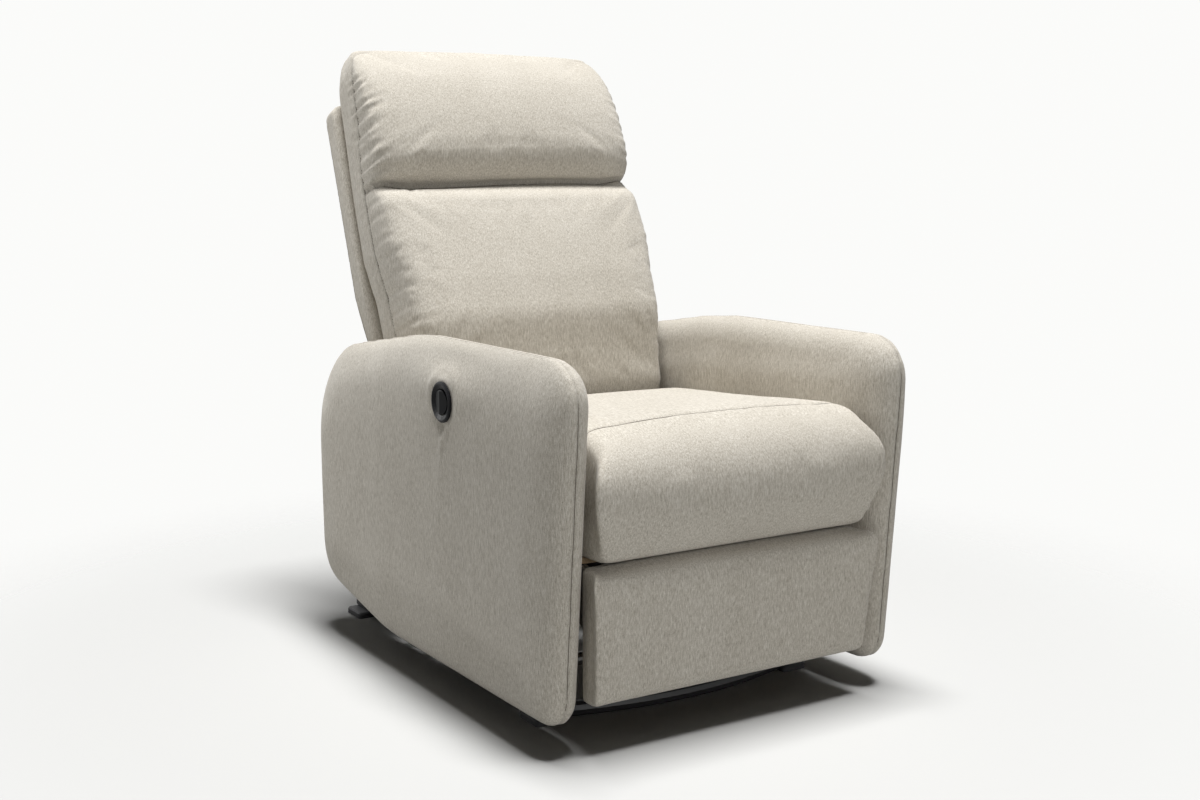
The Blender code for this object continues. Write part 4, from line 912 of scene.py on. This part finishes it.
def close_tree(nodes, start, shape):
    real = nodes.node("GeometryNodeRealizeInstances", None, {0: shape}).out(0)
    smooth = nodes.node("GeometryNodeSetShadeSmooth", None, {0: real}).out(0)
    sockets = {"Geometry": smooth, "Material": start.out("Finish")}
    painted = nodes.node("GeometryNodeSetMaterial", None, sockets).out(0)
    nodes.node("NodeGroupOutput", None, {0: painted})
    return nodes.tree


def stitch_tree():
    nodes, start = new_tree("stitch_row", ["Pitch", "Length", "Thickness"])
    curve = nodes.node("GeometryNodeMeshToCurve", None, {0: start.out("Path")}).out(0)
    sockets = {"Curve": curve, "Length": start.out("Pitch")}
    spots = nodes.node("GeometryNodeCurveToPoints", {"mode": "LENGTH"}, sockets)
    bead = nodes.node("GeometryNodeMeshUVSphere", None, {"Segments": 6, "Rings": 5, "Radius": 0.5}).out(0)
    thick = start.out("Thickness")
    size = nodes.node("ShaderNodeCombineXYZ", None, {0: thick, 1: thick, 2: start.out("Length")}).out(0)
    sockets = {"Points": spots.out("Points"), "Instance": bead, "Rotation": spots.out("Rotation"),
               "Scale": size}
    return close_tree(nodes, start, nodes.node("GeometryNodeInstanceOnPoints", None, sockets).out(0))


# A thin dark tube along a seam or crease: painted shadow for the gap there.
def seam_shadow_tree():
    nodes, start = new_tree("seam_shadow_line", ["Thickness"])
    curve = nodes.node("GeometryNodeMeshToCurve", None, {0: start.out("Path")}).out(0)
    sockets = {"Resolution": 6, "Radius": start.out("Thickness") * 0.5}
    ring = nodes.node("GeometryNodeCurvePrimitiveCircle", None, sockets).out(0)
    sockets = {"Curve": curve, "Profile Curve": ring}
    return close_tree(nodes, start, nodes.node("GeometryNodeCurveToMesh", None, sockets).out(0))


def rivet_tree():
    nodes, start = new_tree("rivet_heads", ["Width", "Height"])
    dome = nodes.node("GeometryNodeMeshUVSphere", None, {"Segments": 14, "Rings": 8, "Radius": 1.0}).out(0)
    half = start.out("Width") * 0.5
    size = nodes.node("ShaderNodeCombineXYZ", None, {0: start.out("Height"), 1: half, 2: half}).out(0)
    sockets = {"Points": start.out("Path"), "Instance": dome, "Scale": size}
    return close_tree(nodes, start, nodes.node("GeometryNodeInstanceOnPoints", None, sockets).out(0))


stitch_row, seam_shadow_line, rivet_heads = stitch_tree(), seam_shadow_tree(), rivet_tree()
print("trees:", stitch_row.name, seam_shadow_line.name, rivet_heads.name)

# %% [markdown]
# ## Paths on the covers
# A path has to lie on the finished cover, folds and all. Rays are cast at the cover along the line that
# the seam should take, and the points where they meet it become the path. A Shrinkwrap modifier could do
# the same, but rays make it plain from which side a point is looked for.

# %% Rays and paths
RAYS = 150
ARM_RAYS, ARM_REACH, ARM_EYE = 330, 0.9, (-0.03, 0.33)
PANEL_RAYS, PANEL_REACH, PANEL_EYE = 260, 0.8, 0.33
SEAT_RAYS = 120


def cast(piece, starts, aims, lift):
    """Where rays meet a cover, raised off it by a little; rays that miss are left out."""
    shape = BVHTree.FromObject(piece, bpy.context.evaluated_depsgraph_get())
    path = []
    for start, aim in zip(starts, aims):
        hit, normal, _, _ = shape.ray_cast(Vector(start), Vector(aim).normalized())
        if hit is not None:
            path.append(hit + normal * lift)
    for _ in range(3):
        path = path[:1] + [(a + b + c) / 3.0 for a, b, c in zip(path, path[1:], path[2:])] + path[-1:]
    return path


def round_arm(piece, x, lift):
    """Up the front of an arm, over its top and down its rear."""
    turns = np.radians(np.linspace(211.0, -24.0, ARM_RAYS))
    y, z = ARM_EYE
    starts = [(x, y + ARM_REACH * math.cos(t), z + ARM_REACH * math.sin(t)) for t in turns]
    return cast(piece, starts, [(0.0, -math.cos(t), -math.sin(t)) for t in turns], lift)


def side_of_back(piece, sign, shift, lift):
    """Up one side of the back, along its seam."""
    rows = np.linspace(0.09, 0.735, RAYS)
    starts = upright(np.stack([np.full(RAYS, sign * 0.4), rows, back_seam(rows) + shift], axis=1))
    return cast(piece, starts, [(-sign, 0.0, 0.0)] * RAYS, lift)


def along_crease(piece, lift):
    """Across the back, along the bottom of the sewn crease."""
    xs = np.linspace(-0.262, 0.262, RAYS)
    starts = upright(np.stack([xs, SEWN_CREASE + crease_bend(xs), np.full(RAYS, -0.4)], axis=1))
    return cast(piece, starts, [(0.0, math.cos(LEAN), -math.sin(LEAN))] * RAYS, lift)


def round_panel(piece, across, lift):
    """Up one side of the rear panel, over its top and down the other."""
    turns = np.radians(np.linspace(218.0, -38.0, PANEL_RAYS))
    up = PANEL_EYE + PANEL_REACH * np.sin(turns)
    starts = upright(np.stack([PANEL_REACH * np.cos(turns), up, np.full(PANEL_RAYS, across)], axis=1))
    middle = upright(np.array([[0.0, PANEL_EYE, across]]))[0]
    return cast(piece, starts, [middle - start for start in starts], lift)


def over_seat(piece, lift):
    """Across the seat, along its seam."""
    xs = np.linspace(-0.252, 0.252, SEAT_RAYS)
    starts = [(x, y, 0.7) for x, y in zip(xs, seat_seam(xs))]
    return cast(piece, starts, [(0.0, 0.0, -1.0)] * SEAT_RAYS, lift)


# %% [markdown]
# ## Thread and seam shadows
# The arms carry a row of topstitching on each side of their seam, and the back a single row beside its
# own. The thread is a shade paler than the cloth. A seam line is the shadow in the gap between two panels,
# so it is dark and dull. Rows on one body become one mesh.

# %% Thread
STITCH = {"Pitch": 0.0056, "Length": 0.0043, "Thickness": 0.0012}
SEAM_SHADOW = {"Thickness": 0.0014}
ON_CLOTH = 0.0001


def make_yarn(name, rough, scale, detail, dark, pale):
    yarn = Finish(name, rough)
    twist = yarn.noise(yarn.place(), scale, detail)
    yarn.set("Base Color", yarn.blend(twist, dark, pale))
    yarn.bump(twist, strength=0.3, distance=0.0002)
    return yarn.material


def run_tree(name, tree, paths, values, finish, body, joined=True):
    """Feed rows of points to a tree and keep the result as one plain mesh on a body."""
    points, edges = [], []
    for path in paths:
        first = len(points)
        points += [tuple(p) for p in path]
        if joined:
            edges += [(first + i, first + i + 1) for i in range(len(path) - 1)]
    mesh = bpy.data.meshes.new(name)
    mesh.from_pydata(points, edges, [])
    piece = new_piece(name, mesh)
    grow = piece.modifiers.new("thread", "NODES")
    grow.node_group = tree
    values = {**values, "Finish": finish}
    for item in tree.interface.items_tree:
        if item.in_out == "INPUT" and item.name in values:
            grow[item.identifier] = values[item.name]
    apply_modifiers(piece)
    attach(piece, body)
    print(name, len(piece.data.polygons), "faces")


thread = make_yarn("topstitch_thread", 0.7, 1500.0, 1.0, (0.50, 0.465, 0.40), (0.72, 0.69, 0.63))
# The seam tubes' finish is dark and dull: it is painted shadow.
seam_shade = make_yarn("seam_shade", 0.95, 700.0, 2.0, (0.10, 0.088, 0.070), (0.20, 0.178, 0.148))
# The seam paths carry the painted shadow tubes along the arms' seams, the seat's seam, the back's side
# seams, the panel's welt and the crease.
arm_rows, frame_seam_shadows = [], []
for arm, sign in ((arm_left, 1.0), (arm_right, -1.0)):
    arm_rows += [round_arm(arm, sign * ARM_MIDDLE + shift, ON_CLOTH) for shift in (-0.0060, 0.0060)]
    frame_seam_shadows.append(round_arm(arm, sign * ARM_MIDDLE, -ON_CLOTH))
frame_seam_shadows.append(over_seat(seat, 4.0 * ON_CLOTH))
back_rows = [side_of_back(back, sign, -0.0058, ON_CLOTH) for sign in (-1.0, 1.0)]
back_seam_shadows = [side_of_back(back, sign, 0.0, 0.0) for sign in (-1.0, 1.0)]
back_seam_shadows += [round_panel(panel, PANEL_SEAM, 0.0), along_crease(back, 0.0)]
run_tree("arm_topstitch", stitch_row, arm_rows, STITCH, thread, "frame")
run_tree("frame_seam_shadows", seam_shadow_line, frame_seam_shadows, SEAM_SHADOW, seam_shade, "frame")
run_tree("back_topstitch", stitch_row, back_rows, STITCH, thread, "back")
run_tree("back_seam_shadows", seam_shadow_line, back_seam_shadows, SEAM_SHADOW, seam_shade, "back")

# %% [markdown]
# ## Rivets
# Every link of a recline mechanism turns on a rivet with a low head. The pins are in the mechanical
# model; the heads are domes at the pins' ends, one mesh for each body, and low enough to pass between
# neighbouring links. Each pivot is written as its place, its layer of plates and the side it faces.

# %% Rivet heads
LAYER_STEP, PLATE_OUT, PLATE_THICK, PIN_PAST = 0.0055, 0.2547, 0.0040, 0.0005
RIVET = {"Width": 0.0160, "Height": 0.0008}
PIVOTS = {
    "frame": [(-0.2541, 0.2456, 1, -1), (0.160, 0.105, 4, -1), (0.330, 0.1197, 5, -1)],
    "foot_arm": [(-0.2141, 0.1222, 2, -1), (-0.1868, 0.0722, 2, -1)],
    "foot_reach": [(-0.1665, 0.0914, 3, -1), (-0.3747, 0.2198, 1, 1)],
    "footrest": [(-0.4020, 0.2700, 2, -1)],
    "base": [(-0.170, 0.085, 5, 1)],
}
zinc = finishes["zinc_steel"]
for body, pins in PIVOTS.items():
    spots = []
    for y, z, layer, facing in pins:
        outer = PLATE_OUT - LAYER_STEP * layer
        end = outer + PIN_PAST if facing > 0 else outer - PLATE_THICK - PIN_PAST
        spots += [(end, y, z), (-end, y, z)]
    run_tree(body + "_rivets", rivet_heads, [spots], RIVET, zinc, body, joined=False)

# %% [markdown]
# ## Camera
# The camera stands where the photographer stood: to the front right of the chair, a little under its top,
# with a 46 mm lens on a 36 mm sensor. It was fitted to edges of the chair in the photograph together with
# the chair's proportions.

# %% Camera
camera_data = bpy.data.cameras.new("camera")
camera_data.lens = 46.42
camera_data.sensor_width = 36.0
camera = bpy.data.objects.new("camera", camera_data)
scene.collection.objects.link(camera)
camera.location = (-1.4249, -2.3125, 0.8779)
camera.rotation_euler = (math.radians(90.0 - 8.81), 0.0, math.radians(-32.31))
scene.camera = camera
print("camera lens:", round(camera_data.lens, 2), "mm")

# %% [markdown]
# ## Floor and surround
# The studio is white. The world is white to the camera and to reflections, and gives only a faint light
# otherwise. The floor keeps the chair's shadow near it and fades into the white further out. To other
# rays than the camera's it is darker, so that it throws less light up under the chair, where the
# photograph is deep in shade.

# %% Floor and surround
WHITE, FAINT = (0.965, 0.966, 0.952, 1.0), 0.03
FLOOR_SEEN, FLOOR_FOR_LIGHT = (0.60, 0.60, 0.59), (0.36, 0.36, 0.35)
FADE_START, FADE_END = 0.66, 1.60


def make_surround():
    world = bpy.data.worlds.new("surround")
    scene.world = world
    world.use_nodes = True
    nodes = Nodes(world.node_tree)
    rays = nodes.node("ShaderNodeLightPath")
    seen = rays.out("Is Camera Ray").larger(rays.out("Is Glossy Ray"))
    clear = seen.larger(rays.out("Is Transmission Ray"))
    background = nodes.tree.nodes["Background"]
    nodes.feed(background.inputs["Color"], WHITE)
    nodes.feed(background.inputs["Strength"], clear * (1.0 - FAINT) + FAINT)


def make_floor():
    shape = bmesh.new()
    bmesh.ops.create_grid(shape, x_segments=1, y_segments=1, size=9.0)
    mesh = bpy.data.meshes.new("floor")
    shape.to_mesh(mesh)
    shape.free()
    floor = new_piece("floor", mesh)
    paint = Finish("studio_floor", 0.9)
    seen = paint.node("ShaderNodeLightPath").out("Is Camera Ray")
    paint.set("Base Color", paint.blend(seen, FLOOR_FOR_LIGHT, FLOOR_SEEN))
    paint.set("Specular IOR Level", 0.1)
    apart = paint.node("ShaderNodeVectorMath", {"operation": "LENGTH"}, {0: paint.place()}).out("Value")
    fade = paint.rise(apart, FADE_START, FADE_END)
    clear = paint.node("ShaderNodeBsdfTransparent").out(0)
    solid = Value(paint, paint.shader.outputs[0])
    mix = paint.node("ShaderNodeMixShader", None, {0: fade * seen, 1: solid, 2: clear}).out(0)
    paint.feed(paint.tree.nodes["Material Output"].inputs["Surface"], mix)
    mesh.materials.append(paint.material)
    return floor


make_surround()
floor = make_floor()
print("floor fades out from", FADE_START, "to", FADE_END, "m")

# %% [markdown]
# ## Light
# The chair is lit as from a soft light high above it, with a weak fill from the front and a weaker one at
# its side. The floor has a lamp of its own at the same height, longer from front to rear, so that the
# shadow is soft at the front and the rear and firmer at the sides. One lamp for both could not match the
# chair's shading and its shadow at once. Light linking keeps them apart: each lamp has a collection that
# says whether the floor is lit by it.

# %% Lamps
def linked_light(name, state):
    """A collection for light linking, in which the floor is either all that is lit or left out."""
    lit = bpy.data.collections.new(name)
    lit.objects.link(floor)
    lit.collection_objects[0].light_linking.link_state = state
    return lit


def soft_light(name, place, aim, size, power, lit):
    data = bpy.data.lights.new(name, "AREA")
    data.shape = "RECTANGLE"
    data.size, data.size_y = size
    data.energy = power
    lamp = bpy.data.objects.new(name, data)
    scene.collection.objects.link(lamp)
    lamp.location = place
    lamp.rotation_euler = (Vector(aim) - Vector(place)).to_track_quat("-Z", "Y").to_euler()
    lamp.light_linking.receiver_collection = lit
    print(name, power, "W")


chair_only, floor_only = linked_light("chair_only", "EXCLUDE"), linked_light("floor_only", "INCLUDE")
soft_light("ceiling", (-0.1, -0.1, 7.5), (0.0, 0.0, 0.0), (2.6, 2.6), 770.0, chair_only)
soft_light("floor_light", (0.2, -0.6, 7.5), (0.0, 0.0, 0.0), (1.4, 3.4), 850.0, floor_only)
soft_light("front_fill", (-0.45, -3.8, 1.4), (0.0, 0.0, 0.4), (2.4, 1.6), 34.0, chair_only)
soft_light("side_fill", (-1.2, 1.0, 1.0), (-0.3, 0.2, 0.6), (0.6, 0.6), 6.5, chair_only)
